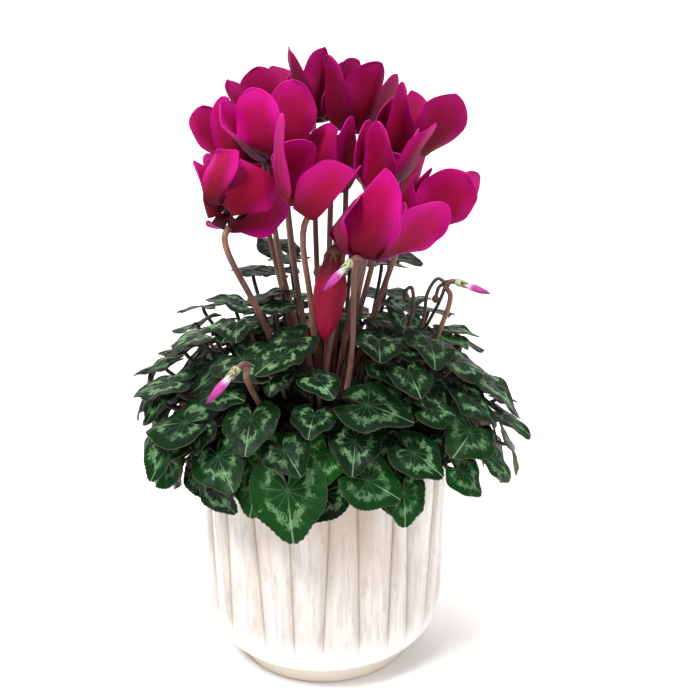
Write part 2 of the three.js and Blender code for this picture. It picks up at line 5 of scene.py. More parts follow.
import bmesh
import bpy
import numpy as np
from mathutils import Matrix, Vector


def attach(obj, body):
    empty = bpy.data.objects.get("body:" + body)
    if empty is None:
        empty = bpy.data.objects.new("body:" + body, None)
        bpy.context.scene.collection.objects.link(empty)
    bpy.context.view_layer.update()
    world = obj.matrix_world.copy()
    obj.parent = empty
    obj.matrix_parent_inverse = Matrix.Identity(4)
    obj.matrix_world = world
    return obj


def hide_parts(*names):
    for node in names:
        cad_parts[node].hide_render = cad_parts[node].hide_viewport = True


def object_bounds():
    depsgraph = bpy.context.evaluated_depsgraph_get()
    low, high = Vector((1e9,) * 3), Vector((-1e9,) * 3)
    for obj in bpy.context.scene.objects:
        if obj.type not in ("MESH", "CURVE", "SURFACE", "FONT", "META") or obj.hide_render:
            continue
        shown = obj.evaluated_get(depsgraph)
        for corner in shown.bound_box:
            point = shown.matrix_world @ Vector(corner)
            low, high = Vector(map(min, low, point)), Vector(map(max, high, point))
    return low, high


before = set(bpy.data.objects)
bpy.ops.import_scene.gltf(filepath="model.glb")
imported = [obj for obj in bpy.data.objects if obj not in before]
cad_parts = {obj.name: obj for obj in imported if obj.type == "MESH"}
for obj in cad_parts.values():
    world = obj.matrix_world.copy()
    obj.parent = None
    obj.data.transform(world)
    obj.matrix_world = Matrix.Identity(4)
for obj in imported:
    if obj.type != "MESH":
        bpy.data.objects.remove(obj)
cad_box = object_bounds()
scene = bpy.context.scene


# ---- Camera: at the height of the petals, looking a little down on the front of the pot.
def stood(name, data):
    """A new object in the scene."""
    made = bpy.data.objects.new(name, data)
    scene.collection.objects.link(made)
    return made


# The focal length is given in points of the picture.
FOCAL_LENGTH, PICTURE_WIDTH, SENSOR_WIDTH, CAMERA_TILT = 850, 700, 36, 14.3
scene.camera = stood("camera", bpy.data.cameras.new("camera"))
scene.camera.data.lens = FOCAL_LENGTH / PICTURE_WIDTH * SENSOR_WIDTH
scene.camera.data.sensor_width = SENSOR_WIDTH
scene.camera.location = (0.014, -0.430, 0.275)
scene.camera.rotation_euler = (radians(90 - CAMERA_TILT), 0, 0)


# ---- Pot: a glazed stoneware cup on a plain foot band. Its wall was pressed into upright pleats while
# the clay was soft, so each crease wanders a little, pools darker glaze in its groove and ends in a
# small tip above the smooth belly.
def sway(n):
    """A number from -1 to 1 that is always the same for the same n: the broken part of a fast wave."""
    wave = sin(n * 12.9898 + 78.233) * 43758.5453
    return 2 * (wave - floor(wave)) - 1


def lerp(a, b, t):
    """The value a share t of the way from a to b."""
    return (1 - t) * a + t * b


def smoothstep(x, low, high):
    """0 below low and 1 above high, with an S-curve 3t^2 - 2t^3 between them."""
    t = np.clip((x - low) / (high - low), 0, 1)
    return t * t * (3 - 2 * t)


def paint(code):
    """A colour for a shader from its six-digit screen code."""
    shares = [int(code[i : i + 2], 16) / 255 for i in (0, 2, 4)]
    return tuple(((c + 0.055) / 1.055) ** 2.4 if c > 0.04 else c / 12.92 for c in shares) + (1,)


def finish(name, **values):
    """A new material, its node tree and its shader, with values on the shader's own sockets."""
    made = bpy.data.materials.new(name)
    made.use_nodes = True
    shader = made.node_tree.nodes["Principled BSDF"]
    for socket, value in values.items():
        shader.inputs[socket.replace("_", " ")].default_value = value
    return made, made.node_tree, shader


def add(tree, kind, *inputs, out=0, **settings):
    """One node: its settings, its sockets in order (a number, a colour or another node's output, None
    to leave it) and one of its outputs."""
    node = tree.nodes.new("ShaderNode" + kind)
    for key, value in settings.items():
        setattr(node, key, value)
    for socket, value in zip(node.inputs, inputs):
        if isinstance(value, bpy.types.NodeSocket):
            tree.links.new(value, socket)
        elif value is not None:
            socket.default_value = value
    return node.outputs[out]


def sums(operation, first, *others):
    """One sum, by a Math node in the tree of its first input."""
    return add(first.id_data, "Math", first, *others, operation=operation)


def times(value, share):
    """The product of two values."""
    return sums("MULTIPLY", value, share)


def ease(value, low, high, start=0.0, end=1.0):
    """An S-curve from start, where value is low, to end, where it is high."""
    return add(value.id_data, "MapRange", value, low, high, start, end, interpolation_type="SMOOTHSTEP")


def blended(share, under, over, strength=1):
    """Two colours, screen codes or outputs of nodes, mixed by a share times a strength."""
    if strength != 1:
        share = times(share, strength)
    node = share.id_data.nodes.new("ShaderNodeMix")
    node.data_type = "RGBA"
    for index, value in ((0, share), (6, under), (7, over)):
        if isinstance(value, bpy.types.NodeSocket):
            share.id_data.links.new(value, node.inputs[index])
        else:
            node.inputs[index].default_value = paint(value)
    return node.outputs[2]


def object_spot(tree, upright=1):
    """Where a point of the piece is, in metres, with its height times a share."""
    return add(tree, "Mapping", add(tree, "TexCoord", out=3), None, None, (1, 1, upright))


def parts_of(tree, label):
    """The three numbers that each point of the piece carries under a label."""
    return add(tree, "SeparateXYZ", add(tree, "Attribute", attribute_name=label, out=1)).node.outputs


def clouds(where, scale, detail=3.0, roughness=0.5):
    """Soft noise from about 0.3 to 0.7."""
    return add(where.id_data, "TexNoise", where, None, scale, detail, roughness)


def coated(shader, colour, height=None, strength=0.0, depth=0.0):
    """A colour on the shader and, where there is a height, a bump of a depth in metres."""
    tree = shader.id_data
    tree.links.new(colour, shader.inputs["Base Color"])
    if height is None:
        return
    bump = tree.nodes.new("ShaderNodeBump")
    bump.inputs["Strength"].default_value = strength
    bump.inputs["Distance"].default_value = depth
    tree.links.new(height, bump.inputs["Height"])
    tree.links.new(bump.outputs[0], shader.inputs["Normal"])


def lofted(name, lofts, finishes, nodes):
    """One piece from closed lofts. A loft is a row of rings of points (rows, columns, 3), the spot of
    each point in its pattern, the kind of the loft (both three numbers) and the number of its finish.
    Neighbouring rings are joined by quads, and the first and last ring are capped."""
    points, spots, kinds, faces, marks = [], [], [], [], []
    start = 0
    for rings, spot, kind, mark in lofts:
        rows, columns = rings.shape[:2]
        corner = start + np.arange(rows * columns).reshape(rows, columns)
        after = np.roll(corner, -1, axis=1)
        quads = np.stack([corner[:-1], after[:-1], after[1:], corner[1:]], -1).reshape(-1, 4).tolist()
        quads += [corner[0, ::-1].tolist(), corner[-1].tolist()]
        faces += quads
        marks += [mark] * len(quads)
        points.append(rings.reshape(-1, 3) * 0.001)
        spots.append(np.broadcast_to(spot, rings.shape).reshape(-1, 3))
        kinds.append(np.broadcast_to(kind, rings.shape).reshape(-1, 3))
        start += rows * columns
    mesh = bpy.data.meshes.new(name)
    mesh.from_pydata(np.concatenate(points).tolist(), [], faces)
    for label, values in (("spot", spots), ("kind", kinds)):
        layer = mesh.attributes.new(label, "FLOAT_VECTOR", "POINT")
        layer.data.foreach_set("vector", np.concatenate(values).astype(np.float32).ravel())
    for made in finishes:
        mesh.materials.append(made)
    mesh.polygons.foreach_set("material_index", np.array(marks, np.int32))
    shell = bmesh.new()
    shell.from_mesh(mesh)
    bmesh.ops.recalc_face_normals(shell, faces=shell.faces)
    shell.to_mesh(mesh)
    shell.free()
    mesh.shade_smooth()
    made = stood(name, mesh)
    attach(made, "root")
    if nodes:
        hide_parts(*nodes)


def unit(v):
    """A vector or an array of vectors made one long."""
    return v / np.linalg.norm(v, axis=-1, keepdims=True)


PLEATS, PLEAT_POINTS, PLEAT_DEPTH = 24, 14, 2.4
CREASE_WANDER, CREASE_FOOT, CREASE_TOP = 4, 24, 95


def wandered(seed):
    """How many degrees each crease is off its even step."""
    return np.array([CREASE_WANDER * sway((i + 18) % PLEATS + seed) for i in range(PLEATS)])


CREASES_TOP, CREASES_FOOT = wandered(36.85), wandered(37.35)


def crease_angle(i, z):
    """Degrees of crease i about the pot at a height: even steps, leaning from foot to top."""
    share = (z - CREASE_FOOT) / (CREASE_TOP - CREASE_FOOT)
    return 360 / PLEATS * i + lerp(CREASES_FOOT[i % PLEATS], CREASES_TOP[i % PLEATS], share)


def gathered(*parts):
    """Values side by side for every point of a grid, from numbers, rows, columns or whole grids."""
    return np.stack(np.broadcast_arrays(*parts), -1)


def around(radius, angle, z):
    """Points at a distance from the upright axis, an angle about it and a height."""
    return gathered(radius * np.cos(angle), radius * np.sin(angle), z)


def pot_profile():
    """Radius, height and how much the pleats show, down the outside, round the belly to the foot band,
    over the lip and down the inside. The belly is a quarter of an ellipse."""
    turn = np.linspace(0, pi / 2, 12)
    belly = np.stack([48 + 16.4 * np.sin(turn), 10 + 23 * (1 - np.cos(turn))], -1)
    wall_z = np.linspace(35, 109, 30)
    wall = np.stack([lerp(64.4, 66, (wall_z - 33) / 76), wall_z], -1)
    foot = [[1, 0], [30, 0], [46.2, 0], [46.9, 0.5], [47.2, 1.4], [47.7, 6], [47.9, 9.2], [47.6, 9.8]]
    lip = [[66, 111.5], [65.8, 113.4], [65.2, 114.6]]
    inside = [[64.2, 115], [63, 115], [62.1, 114.5], [61.6, 113], [61, 109], [60.6, 80], [60.2, 45]]
    inside += [[59, 28], [45, 9.2], [30, 9], [1, 9]]
    rows = np.concatenate([foot, belly, wall, lip, inside])
    z = rows[:, 1]
    shown = smoothstep(z, 16, 32) * (1 - smoothstep(z, 109, 119))
    shown[-len(inside) :] = 0
    return rows[:, 0], z, shown


def pleated_rings():
    """The profile carried round the pot. Between two creases the wall stands out by sin(pi t)^0.7. With
    each point come its way to the nearest crease, its height and how much the pleats show, and its
    place on the wall laid flat."""
    radius, z, shown = (column[:, None] for column in pot_profile())
    column = np.arange(PLEATS * PLEAT_POINTS)[None]
    pleat = column // PLEAT_POINTS
    across = 0.5 - 0.5 * np.cos(pi * (column % PLEAT_POINTS) / PLEAT_POINTS)
    angle = np.radians(lerp(crease_angle(pleat, z), crease_angle(pleat + 1, z), across))
    puffed = np.sin(pi * across) ** 0.7
    reach = radius - np.minimum(PLEAT_DEPTH, radius * 0.5) * shown * (1 - puffed)
    groove = np.minimum(across, 1 - across) * radians(360 / PLEATS) * radius
    spot = gathered(groove, z, shown)
    way = np.cumsum(np.hypot(np.diff(radius, axis=0, prepend=0), np.diff(z, axis=0, prepend=0)))
    return around(reach, angle, z), spot, around(64, angle, way[:, None]) * 0.001


def glaze():
    """Ivory glaze: fine upright streaks, a warm flush, tea-coloured pools in the grooves, painted shade
    in a soft band beside each crease, a bright belly and a cream foot band."""
    made, tree, shader = finish("ivory_glaze", Roughness=0.28, Coat_Weight=0.35, Coat_Roughness=0.12)
    groove_way, height, pleated = parts_of(tree, "spot")
    unrolled = add(tree, "Attribute", attribute_name="kind", out=1)
    along = lambda share: add(tree, "Mapping", unrolled, None, None, (1, 1, share))
    streaks = clouds(along(0.1), 480, 4.0, 0.65)
    specks = clouds(along(0.3), 260, 3.0)
    broad = clouds(along(0.4), 22, 2.0)
    colour = blended(ease(streaks, 0.36, 0.64), "cbc4bf", "e4dfda")
    colour = blended(ease(specks, 0.56, 0.72, 0, 0.45), colour, "a59ca2")
    flush = times(ease(broad, 0.42, 0.6), ease(height, 45, 100))
    colour = blended(flush, colour, "c6ad9a", 0.7)
    # Painted shade: a soft darkening a few millimetres wide on both sides of each crease.
    painted_crease_shade = times(ease(groove_way, 0.2, 6.5, 1, 0), pleated)
    colour = blended(painted_crease_shade, colour, "b3a493", 0.4)
    groove = times(ease(groove_way, 0.1, 0.8, 1, 0), pleated)
    pooled = blended(ease(height, 40, 95), "9a948a", "a38a5c")
    colour = blended(groove, colour, pooled, 0.6)
    belly = times(ease(height, 38, 20), ease(height, 9.5, 12))
    colour = blended(belly, colour, "f4f2f0", 0.85)
    colour = blended(ease(height, 10.5, 9.5), colour, "f0e4d4")
    grain = times(streaks, ease(height, 20, 40))
    tree.links.new(ease(grain, 0.3, 0.7, 0.34, 0.24), shader.inputs["Roughness"])
    coated(shader, colour, grain, 0.05, 0.0002)
    return made


rings, spot, unrolled = pleated_rings()
lofted("glazed_pot", [(rings, spot, unrolled, 0)], [glaze()], ["pot"])


# ---- Potting mix: peat and bark fines, filled to just under the rim and heaped a little round the
# tuber.
def lumps(rings, depth, grain):
    """Rings moved up and down by a few crossed sine waves, like a crumbly surface."""
    x, y = rings[..., 0] / grain, rings[..., 1] / grain
    rough = np.sin(3.1 * x + 2 * np.sin(2.3 * y)) * np.sin(2.7 * y + 1.5 * np.sin(3.7 * x))
    rough += 0.5 * np.sin(7.9 * x + 4.1 * y) * np.sin(6.3 * y - 5.2 * x)
    moved = rings.copy()
    moved[..., 2] += depth * rough
    return moved


def full_turn(count):
    """Even angles once round."""
    return np.linspace(0, 2 * pi, count, endpoint=False)


def turned(profile, sides):
    """A profile of (radius, height) carried round the upright axis."""
    profile = np.array(profile, float)
    return around(profile[:, :1], full_turn(sides), profile[:, 1:])


def plain(rings, mark=0):
    """A loft with no pattern of its own: its finish goes by where it is."""
    return rings, (0, 0, 0), (0, 0, 0), mark


def peat():
    """Dark crumbs with lighter bark flecks."""
    made, tree, shader = finish("peat", Roughness=0.95)
    crumbs = clouds(object_spot(tree), 420, 5.0, 0.7)
    flecks = add(tree, "TexVoronoi", object_spot(tree), None, 380)
    colour = blended(ease(crumbs, 0.35, 0.65), "17100b", "3b2a1d")
    colour = blended(ease(flecks, 0.16, 0.1, 0, 0.6), colour, "7a6048")
    coated(shader, colour, crumbs, 0.9, 0.0015)
    return made


MIX_RADIUS, MIX_LEVEL, MIX_HEAP = 59, 103, 3
reach = np.linspace(MIX_RADIUS, 3, 30)
heaped = MIX_LEVEL + MIX_HEAP * smoothstep(reach, 60, 30)
filled = [(1, 9.4), (44, 9.4), (58.6, 30), (59.7, 60), (59.9, 100), (59.7, 102.2)]
crust = lumps(turned(gathered(reach, heaped), 120), 0.5, 6)
mix = np.concatenate([turned(filled, 120), crust])
lofted("potting_mix", [plain(mix)], [peat()], ["soil"])


# ---- Tuber: a corky, flattened ball, half out of the mix. Every stalk and stem stands in its crown.
TUBER_RADIUS, TUBER_HALF, TUBER_CENTRE = 32, 14, 100


def crown_height(r):
    """Height of the tuber's crown at a distance from its axis: a flattened sphere."""
    return TUBER_CENTRE + TUBER_HALF * sqrt(1 - (r / TUBER_RADIUS) ** 2)


def tuber_rings():
    """A flattened sphere whose skin is drawn in by shallow furrows."""
    fall = np.linspace(0.03, pi - 0.03, 44)[:, None]
    angle = full_turn(96)
    furrow = 0.9 * np.sin(5 * angle + 2 * np.sin(3 * fall)) * np.sin(fall)
    furrow += 0.5 * np.sin(11 * angle + 9 * fall)
    reach = (TUBER_RADIUS - 1 + 0.7 * furrow) * np.sin(fall)
    return around(reach, angle, TUBER_CENTRE + TUBER_HALF * np.cos(fall))


def cork():
    """Brown bark, cracked into small plates."""
    made, tree, shader = finish("cork", Roughness=0.85)
    plates = add(tree, "TexVoronoi", object_spot(tree), None, 260, feature="DISTANCE_TO_EDGE")
    tone = clouds(object_spot(tree), 60)
    colour = blended(ease(tone, 0.35, 0.65), "4a3324", "86684c")
    colour = blended(ease(plates, 0.09, 0.01, 0, 0.8), colour, "281a12")
    coated(shader, colour, ease(plates, 0, 0.12), 0.8, 0.001)
    return made


lofted("corky_tuber", [plain(tuber_rings())], [cork()], ["tuber"])


# ---- Bloom stems: smooth, fleshy and red-brown. They fan out of the crown like spokes, hook over at
# the top and hold the bloom upside down in a small calyx of five green points.

# A row gives the middle of a bloom's mouth, how far it leans and which way (degrees), how wide its
# petals spread (degrees) and its size.
BLOOMS = [
    ((-43, -44, 241), 60, 60, 24, 1.0),
    ((-38, 2, 262), 8, 170, 12, 0.92),
    ((-21, -24, 262), 10, 130, 18, 1.04),
    ((-27, 30, 273), 8, 150, 16, 1.0),
    ((2, -4, 250), 10, 60, 28, 1.1),
    ((-5, 44, 284), 9, 120, 24, 1.0),
    ((15, 28, 278), 8, 20, 24, 1.02),
    ((43, 16, 267), 8, 10, 28, 1.0),
    ((-8, -50, 245), 38, 0, 36, 1.08),
    ((20, -53, 224), 16, 40, 30, 1.1),
    ((33, -17, 247), 8, 60, 26, 1.04),
    ((46, -22, 234), 20, 20, 24, 1.0),
    ((-38, 46, 240), 16, 160, 24, 0.95),
    ((34, 58, 242), 14, 70, 24, 0.95),
]
STEM_RADIUS, STEM_OFFSET, STEM_HOOK, STEM_SPACING, STEM_STEPS = 1.5, 8.8, 16.5, 0.24, 7
TUBE_MOUTH, TUBE_HEIGHT = 4.3, 9
FOOT_HEIGHT, STRAIGHT_TOP = 103.35, 114
FAN_FOOT, FAN_TOP, FAN_CURVE = 112, 262, 1.15


def hanging_frame(origin, up):
    """Origin and three axes of something that hangs: z runs up its own axis, and x points to the side
    on which its stem stands, which is the side nearer the pot's middle."""
    origin = np.array(origin, float)
    home = unit(np.array([-origin[0], -origin[1], -90.0]))
    side = unit(home - (home @ up) * up)
    return origin, np.stack([side, np.cross(up, side), up])


def axis_of(lean, toward):
    """A direction that leans off +Z by some degrees, towards a bearing."""
    tilt, turn = radians(lean), radians(toward)
    return np.array([sin(tilt) * cos(turn), sin(tilt) * sin(turn), cos(tilt)])


def bloom_frame(bloom):
    """The frame of a bloom, with its origin in the middle of the mouth."""
    return hanging_frame(bloom[0], axis_of(*bloom[1:3]))


def set_in(local, at):
    """Points of a hanging thing's own frame, in the part's frame."""
    origin, axes = at
    return origin + local @ axes


def fan_share(z):
    """How far out a stem is at a height, as a share of how far out its bloom hangs."""
    return lerp(STEM_SPACING, 1, smoothstep(z, FAN_FOOT, FAN_TOP) ** FAN_CURVE)


def bloom_stem_route(bloom):
    """Foot in the tuber, two points of the fan, the hook over the top and the calyx."""
    at = bloom_frame(bloom)
    own = lambda x, z: set_in(np.array([x, 0.0, z]), at)
    below = own(STEM_OFFSET + 0.6, -7)
    spoke = below[:2] / fan_share(below[2])
    heights = [lerp(crown_height(0), below[2], share) for share in (0.33, 0.68)]
    fan = [np.append(spoke * fan_share(z), z) for z in heights]
    foot = np.append(spoke * STEM_SPACING, FOOT_HEIGHT)
    hook = STEM_OFFSET / 2
    bend = [own(hook + hook * cos(t), STEM_HOOK - 4 + hook * sin(t)) for t in np.radians([35, 90, 145])]
    upright = np.append(foot[:2], STRAIGHT_TOP)
    return np.array([foot, upright, *fan, below, own(STEM_OFFSET, 8), *bend, own(0, TUBE_HEIGHT + 1)])


def flowing(points, steps):
    """A smooth line through all the points: a Catmull-Rom curve whose knots are the square roots of the
    distances between them, which keeps it from swinging out at close points."""
    ends = np.concatenate([[2 * points[0] - points[1]], points, [2 * points[-1] - points[-2]]])
    gaps = np.sqrt(np.linalg.norm(np.diff(ends, axis=0), axis=1))
    knots = np.concatenate([[0], np.cumsum(gaps)])
    p = [ends[i : len(ends) - 3 + i, None] for i in range(4)]
    k = [knots[i : len(knots) - 3 + i, None, None] for i in range(4)]
    t = lerp(k[1], k[2], np.linspace(0, 1, steps, endpoint=False)[None, :, None])
    mixed = lambda a, b, ka, kb: (a * (kb - t) + b * (t - ka)) / (kb - ka)
    first = [mixed(p[i], p[i + 1], k[i], k[i + 1]) for i in range(3)]
    second = [mixed(first[i], first[i + 1], k[i], k[i + 2]) for i in range(2)]
    line = mixed(*second, k[1], k[2]).reshape(-1, 3)
    return np.concatenate([line, points[-1:]])


def tube(line, radius, square, sides=10):
    """A round tube along a line. The rings are turned by a vector that the line never runs along."""
    along = unit(np.gradient(line, axis=0))
    across = unit(np.cross(along, square))
    third = np.cross(along, across)
    turn = full_turn(sides)[None, :, None]
    radius = np.broadcast_to(radius, len(line))[:, None, None]
    return line[:, None] + radius * (np.cos(turn) * across[:, None] + np.sin(turn) * third[:, None])


def sepals(at, neck, mouth, top, bottom, points=5):
    """A small calyx: a cup round the top of a flower, cut below into pointed lobes that hug it."""
    angle = full_turn(points * 12)
    lobe = (0.5 + 0.5 * np.cos(points * angle)) ** 0.8
    rows = []
    for share, swell in ((0, -0.9), (0.12, -0.2), (0.4, 0.1), (0.7, 0.1), (1, 0.0)):
        z = top - (top - bottom) * share * (0.45 + 0.55 * lobe * share)
        radius = lerp(neck, mouth, share) + swell
        rows.append(around(radius, angle, z))
    inner = [row * [0.86, 0.86, 1] + [0, 0, -0.25] for row in rows[1:]][::-1]
    return set_in(np.array(rows + inner), at)


def stem_skin():
    """Red-brown skin with darker flecks."""
    made, tree, shader = finish("stem_skin", Roughness=0.42, Sheen_Weight=0.15)
    tone = clouds(object_spot(tree, 0.25), 90, 3.0)
    flecks = clouds(object_spot(tree, 0.2), 900, 2.0)
    colour = blended(ease(tone, 0.38, 0.64), "5a2f28", "8a5a48")
    colour = blended(ease(flecks, 0.5, 0.7, 0, 0.5), colour, "3a1d1c")
    coated(shader, colour, flecks, 0.3, 0.0003)
    return made


def mottled(name, under, over, scale, roughness, low=0.4, high=0.6, bump=0, depth=0.4, upright=1):
    """A finish of one colour with soft patches of another, which may stand up by a depth in
    millimetres and be drawn out upright."""
    made, tree, shader = finish(name, Roughness=roughness)
    tone = clouds(object_spot(tree, upright), scale, 3 if upright == 1 else 2)
    colour = blended(ease(tone, low, high), under, over)
    coated(shader, colour, tone if bump else None, bump, depth * 0.001)
    return made


STEM_SKIN = stem_skin()
SEPAL_SKIN = mottled("sepal_skin", "4c4a26", "6b3a30", 300, 0.5, high=0.62, bump=0.3)
for i, bloom in enumerate(BLOOMS, 1):
    at = bloom_frame(bloom)
    line = flowing(bloom_stem_route(bloom), STEM_STEPS)
    thick = STEM_RADIUS * (1 - 0.12 * np.linspace(0, 1, len(line)) ** 2)
    calyx = sepals(at, 2.0, 4.2, TUBE_HEIGHT + 3.5, TUBE_HEIGHT - 5.5)
    lofts = [plain(tube(line, thick, at[1][1])), plain(calyx, 1)]
    node = f"bloom_stem_{i:02d}"
    lofted(f"{node}_skin", lofts, [STEM_SKIN, SEPAL_SKIN], [node])


# ---- Blooms: each is a short tube that hangs mouth down, and five broad petals that bend straight back
# at the mouth and climb past the stem with a slight twist. Where blooms crowd, their petals press flat
# against each other. Five dark anthers stand round a pistil inside the mouth.
PETAL_LENGTH, PETAL_WIDTH, PETAL_BASE, PETAL_THICKNESS = 41, 26.5, 3.0, 0.6
PETAL_CUP, PETAL_BEND, PETAL_DIVE, PETAL_TWIST, PETAL_UPRIGHT = 1.6, 9, -75, 30, 15
PRESS_REACH, PRESS_GAP, PRESS_ROUNDS = 5, 0.95, 4


def half_width(x):
    """Half a petal's width: narrow at the mouth, full at half its length, then a round end."""
    grown = smoothstep(x, 0.03, 0.55)
    beyond = np.clip((x - 0.6) / 0.4, 0, 1)
    return lerp(PETAL_BASE, PETAL_WIDTH / 2, grown) * (1 - beyond**2.6) ** 0.62


def petal_shape(bloom, index, k):
    """Petal k's own numbers: its place round the tube, length, size, spread, curl, twist and seed."""
    n = 1000 + index * 10 + k
    return {
        "azimuth": radians(36 + 72 * k),
        "length": PETAL_LENGTH * bloom[4] * (1 + 0.05 * sway(n)),
        "size": bloom[4],
        "spread": max(bloom[3] + 12 * sway(n + 0.3), PETAL_UPRIGHT),
        "curl": 20 * sway(n + 0.6),
        "twist": PETAL_TWIST + 18 * sway(n + 0.9),
        "seed": n,
    }


def petal_surface(x, across, petal):
    """The middle of a petal on a grid of shares along and across it. Its spine starts at the mouth
    pointing down, bends back through the bend and climbs, leaning out by the spread. Its sides twist
    about the spine, and its edges ruffle in low waves."""
    steps = 24
    s = (np.arange(steps)[:, None] + 0.5) / steps * x * petal["length"]
    climb = radians(90 - petal["spread"]) + radians(petal["curl"]) * (s / petal["length"]) ** 2
    slope = lerp(radians(PETAL_DIVE), climb, smoothstep(s, 0, PETAL_BEND))
    step = x * petal["length"] / steps
    r = (TUBE_MOUTH - 0.6 + (np.cos(slope) * step).sum(0))[:, None]
    z = (0.8 + (np.sin(slope) * step).sum(0))[:, None]
    slope, x = slope[-1][:, None], x[:, None]
    twist = radians(petal["twist"]) * smoothstep(x, 0.15, 0.7)
    w = half_width(x) * across * petal["size"]
    cup = PETAL_CUP * (1 - across * across) * smoothstep(x, 0.1, 0.5) * (1 - x) * 2
    ruffle = 0.9 * np.sin(13 * x + 2.2 * across + petal["seed"]) * across**2 * smoothstep(x, 0.3, 0.8)
    fold = -0.5 * np.exp(-((across / 0.16) ** 2)) * smoothstep(x, 0.1, 0.4) * (1 - x)
    out = cup + ruffle + fold + w * np.sin(twist)
    local = np.stack([r + np.sin(slope) * out, w * np.cos(twist), z - np.cos(slope) * out], -1)
    a = petal["azimuth"]
    turn = np.array([[cos(a), sin(a), 0], [-sin(a), cos(a), 0], [0, 0, 1]])
    return local @ turn


HEART_HEIGHT = 14
HEARTS = np.array([np.array(bloom[0]) + HEART_HEIGHT * axis_of(*bloom[1:3]) for bloom in BLOOMS])


def pressed(points, index):
    """Points of a bloom kept on its own side of the planes midway to its neighbours' hearts: within a
    few millimetres of a plane they close up to it, and they never come nearer than the gap."""
    own = HEARTS[index]
    for _ in range(PRESS_ROUNDS):
        for j, other in enumerate(HEARTS):
            if j == index:
                continue
            middle = np.linalg.norm(other - own) / 2
            away = unit(other - own)
            depth = (points - own) @ away - middle
            into = np.maximum(depth + PRESS_REACH, 0)
            kept = (PRESS_REACH - PRESS_GAP) * (1 - np.exp(-into / PRESS_REACH)) - PRESS_REACH
            moved = np.where(into > 0, np.minimum(kept, -PRESS_GAP) - depth, 0)
            points = points + moved[..., None] * away
    return points


# The upper parts of the stems, which the petals bend round, how far petals stay from them, and how
# near a stem has to be to count.
STEM_LINES = [flowing(bloom_stem_route(bloom), STEM_STEPS)[2 * STEM_STEPS :] for bloom in BLOOMS]
STEM_LINES = np.concatenate(STEM_LINES)
STEM_ROOM, STEM_NEAR = 2.4, 50


def round_stems(points):
    """Points that are nearer to a bloom stem than its room, moved out of it."""
    near = STEM_LINES[np.linalg.norm(STEM_LINES - points.mean((0, 1)), axis=1) < STEM_NEAR]
    away = points[..., None, :] - near
    distance = np.linalg.norm(away, axis=-1)
    closest = distance.argmin(-1)[..., None]
    away = np.take_along_axis(away, closest[..., None], -2)[..., 0, :]
    distance = np.take_along_axis(distance, closest, -1)
    return points + away / distance * np.maximum(STEM_ROOM - distance, 0)


def shelled(middle, thickness):
    """Closed rings round a thin sheet: across its front and back again behind it, with both edges
    shared. The sheet's normal is the cross product of its two grid directions."""
    normal = np.cross(np.gradient(middle, axis=1), np.gradient(middle, axis=0))
    normal[-1] = normal[-2]
    normal = unit(normal) * thickness / 2
    return np.concatenate([(middle + normal)[:, :-1], (middle - normal)[:, :0:-1]], axis=1)


def petal_loft(bloom, index, k, at):
    """A petal as a closed shell, with its shares along and across as the spots of its pattern."""
    petal = petal_shape(bloom, index, k)
    x = 0.5 - 0.5 * np.cos(pi * np.linspace(0, 1, 34) ** 0.9)
    across = np.sin(pi / 2 * np.linspace(-1, 1, 19))
    middle = round_stems(pressed(set_in(petal_surface(x, across, petal), at), index))
    spot = gathered(x[:, None], across, 0)
    spots = np.concatenate([spot[:, :-1], spot[:, :0:-1]], axis=1)
    # The kind's third number is painted shade: it grows towards the back of the pot.
    kind = (0.5 + 0.5 * sway(petal["seed"] + 0.2), 0, smoothstep(bloom[0][1], -35, 45))
    return shelled(middle, PETAL_THICKNESS), spots, kind, 0


def throat_lofts(at):
    """The corolla's tube, open at the mouth, with the anthers and the pistil in it."""
    wall = [(1, 9), (2.6, 8.9), (3.4, 8.4), (3.7, 5), (4.1, 2), (4.4, 0.4), (4.2, -0.4), (3.6, -0.3)]
    wall += [(3.3, 0.6), (3.0, 3), (2.6, 6.4), (1, 6.8)]
    lofts = [(set_in(turned(wall, 30), at), (0.02, 0, 0), (0.5, 0, 0), 0)]
    spike = turned([(0.2, 6.5), (0.75, 5.8), (0.85, 3.2), (0.5, 0.9), (0.15, 0.2)], 8)
    lofts += [plain(set_in(spike + around(1.45, turn, 0), at), 1) for turn in full_turn(5)]
    pistil = turned([(0.3, 6.5), (0.3, 0), (0.42, -0.9), (0.2, -1.2)], 8)
    return lofts + [plain(set_in(pistil, at), 2)]


def petal_velvet():
    """Velvety crimson-magenta: near black red at the mouth, crimson up the middle, lilac-pink at the
    edges, with fine veins that fan up the petal. Blooms further back are darkened by painted shade, and
    a lilac painted sheen lies where the petal is seen edge on."""
    made, tree, shader = finish("petal_velvet", Roughness=0.7, Specular_IOR_Level=0.12)
    spot, kind = parts_of(tree, "spot"), parts_of(tree, "kind")
    colour = blended(ease(spot[0], 0.03, 0.5), "1e000a", "780028")
    colour = blended(ease(spot[0], 0.3, 0.95), colour, "b0005a")
    edge = ease(sums("ABSOLUTE", spot[1]), 0.3, 1)
    side = times(edge, ease(spot[0], 0.2, 0.5))
    rim = sums("MAXIMUM", side, ease(spot[0], 0.75, 1))
    colour = blended(rim, colour, "d00a96", 0.8)
    colour = blended(kind[0], colour, "8a0026", 0.5)
    # Painted shade: the kind's third number darkens the blooms that stand further back.
    colour = blended(kind[2], colour, "600020", 0.45)
    fan = times(spot[1], 40)
    wander = clouds(object_spot(tree), 120, 2.0)
    vein = sums("SINE", sums("ADD", fan, times(wander, 9)))
    colour = blended(ease(vein, 0.3, 1, 0, 0.12), colour, "5c0020")
    # Painted sheen: lilac where the petal is seen edge on.
    painted_sheen = ease(add(tree, "LayerWeight", 0.35, out=1), 0.5, 1, 0, 0.3)
    colour = blended(painted_sheen, colour, "cc38c4")
    coated(shader, colour, vein, 0.1, 0.0002)
    return made


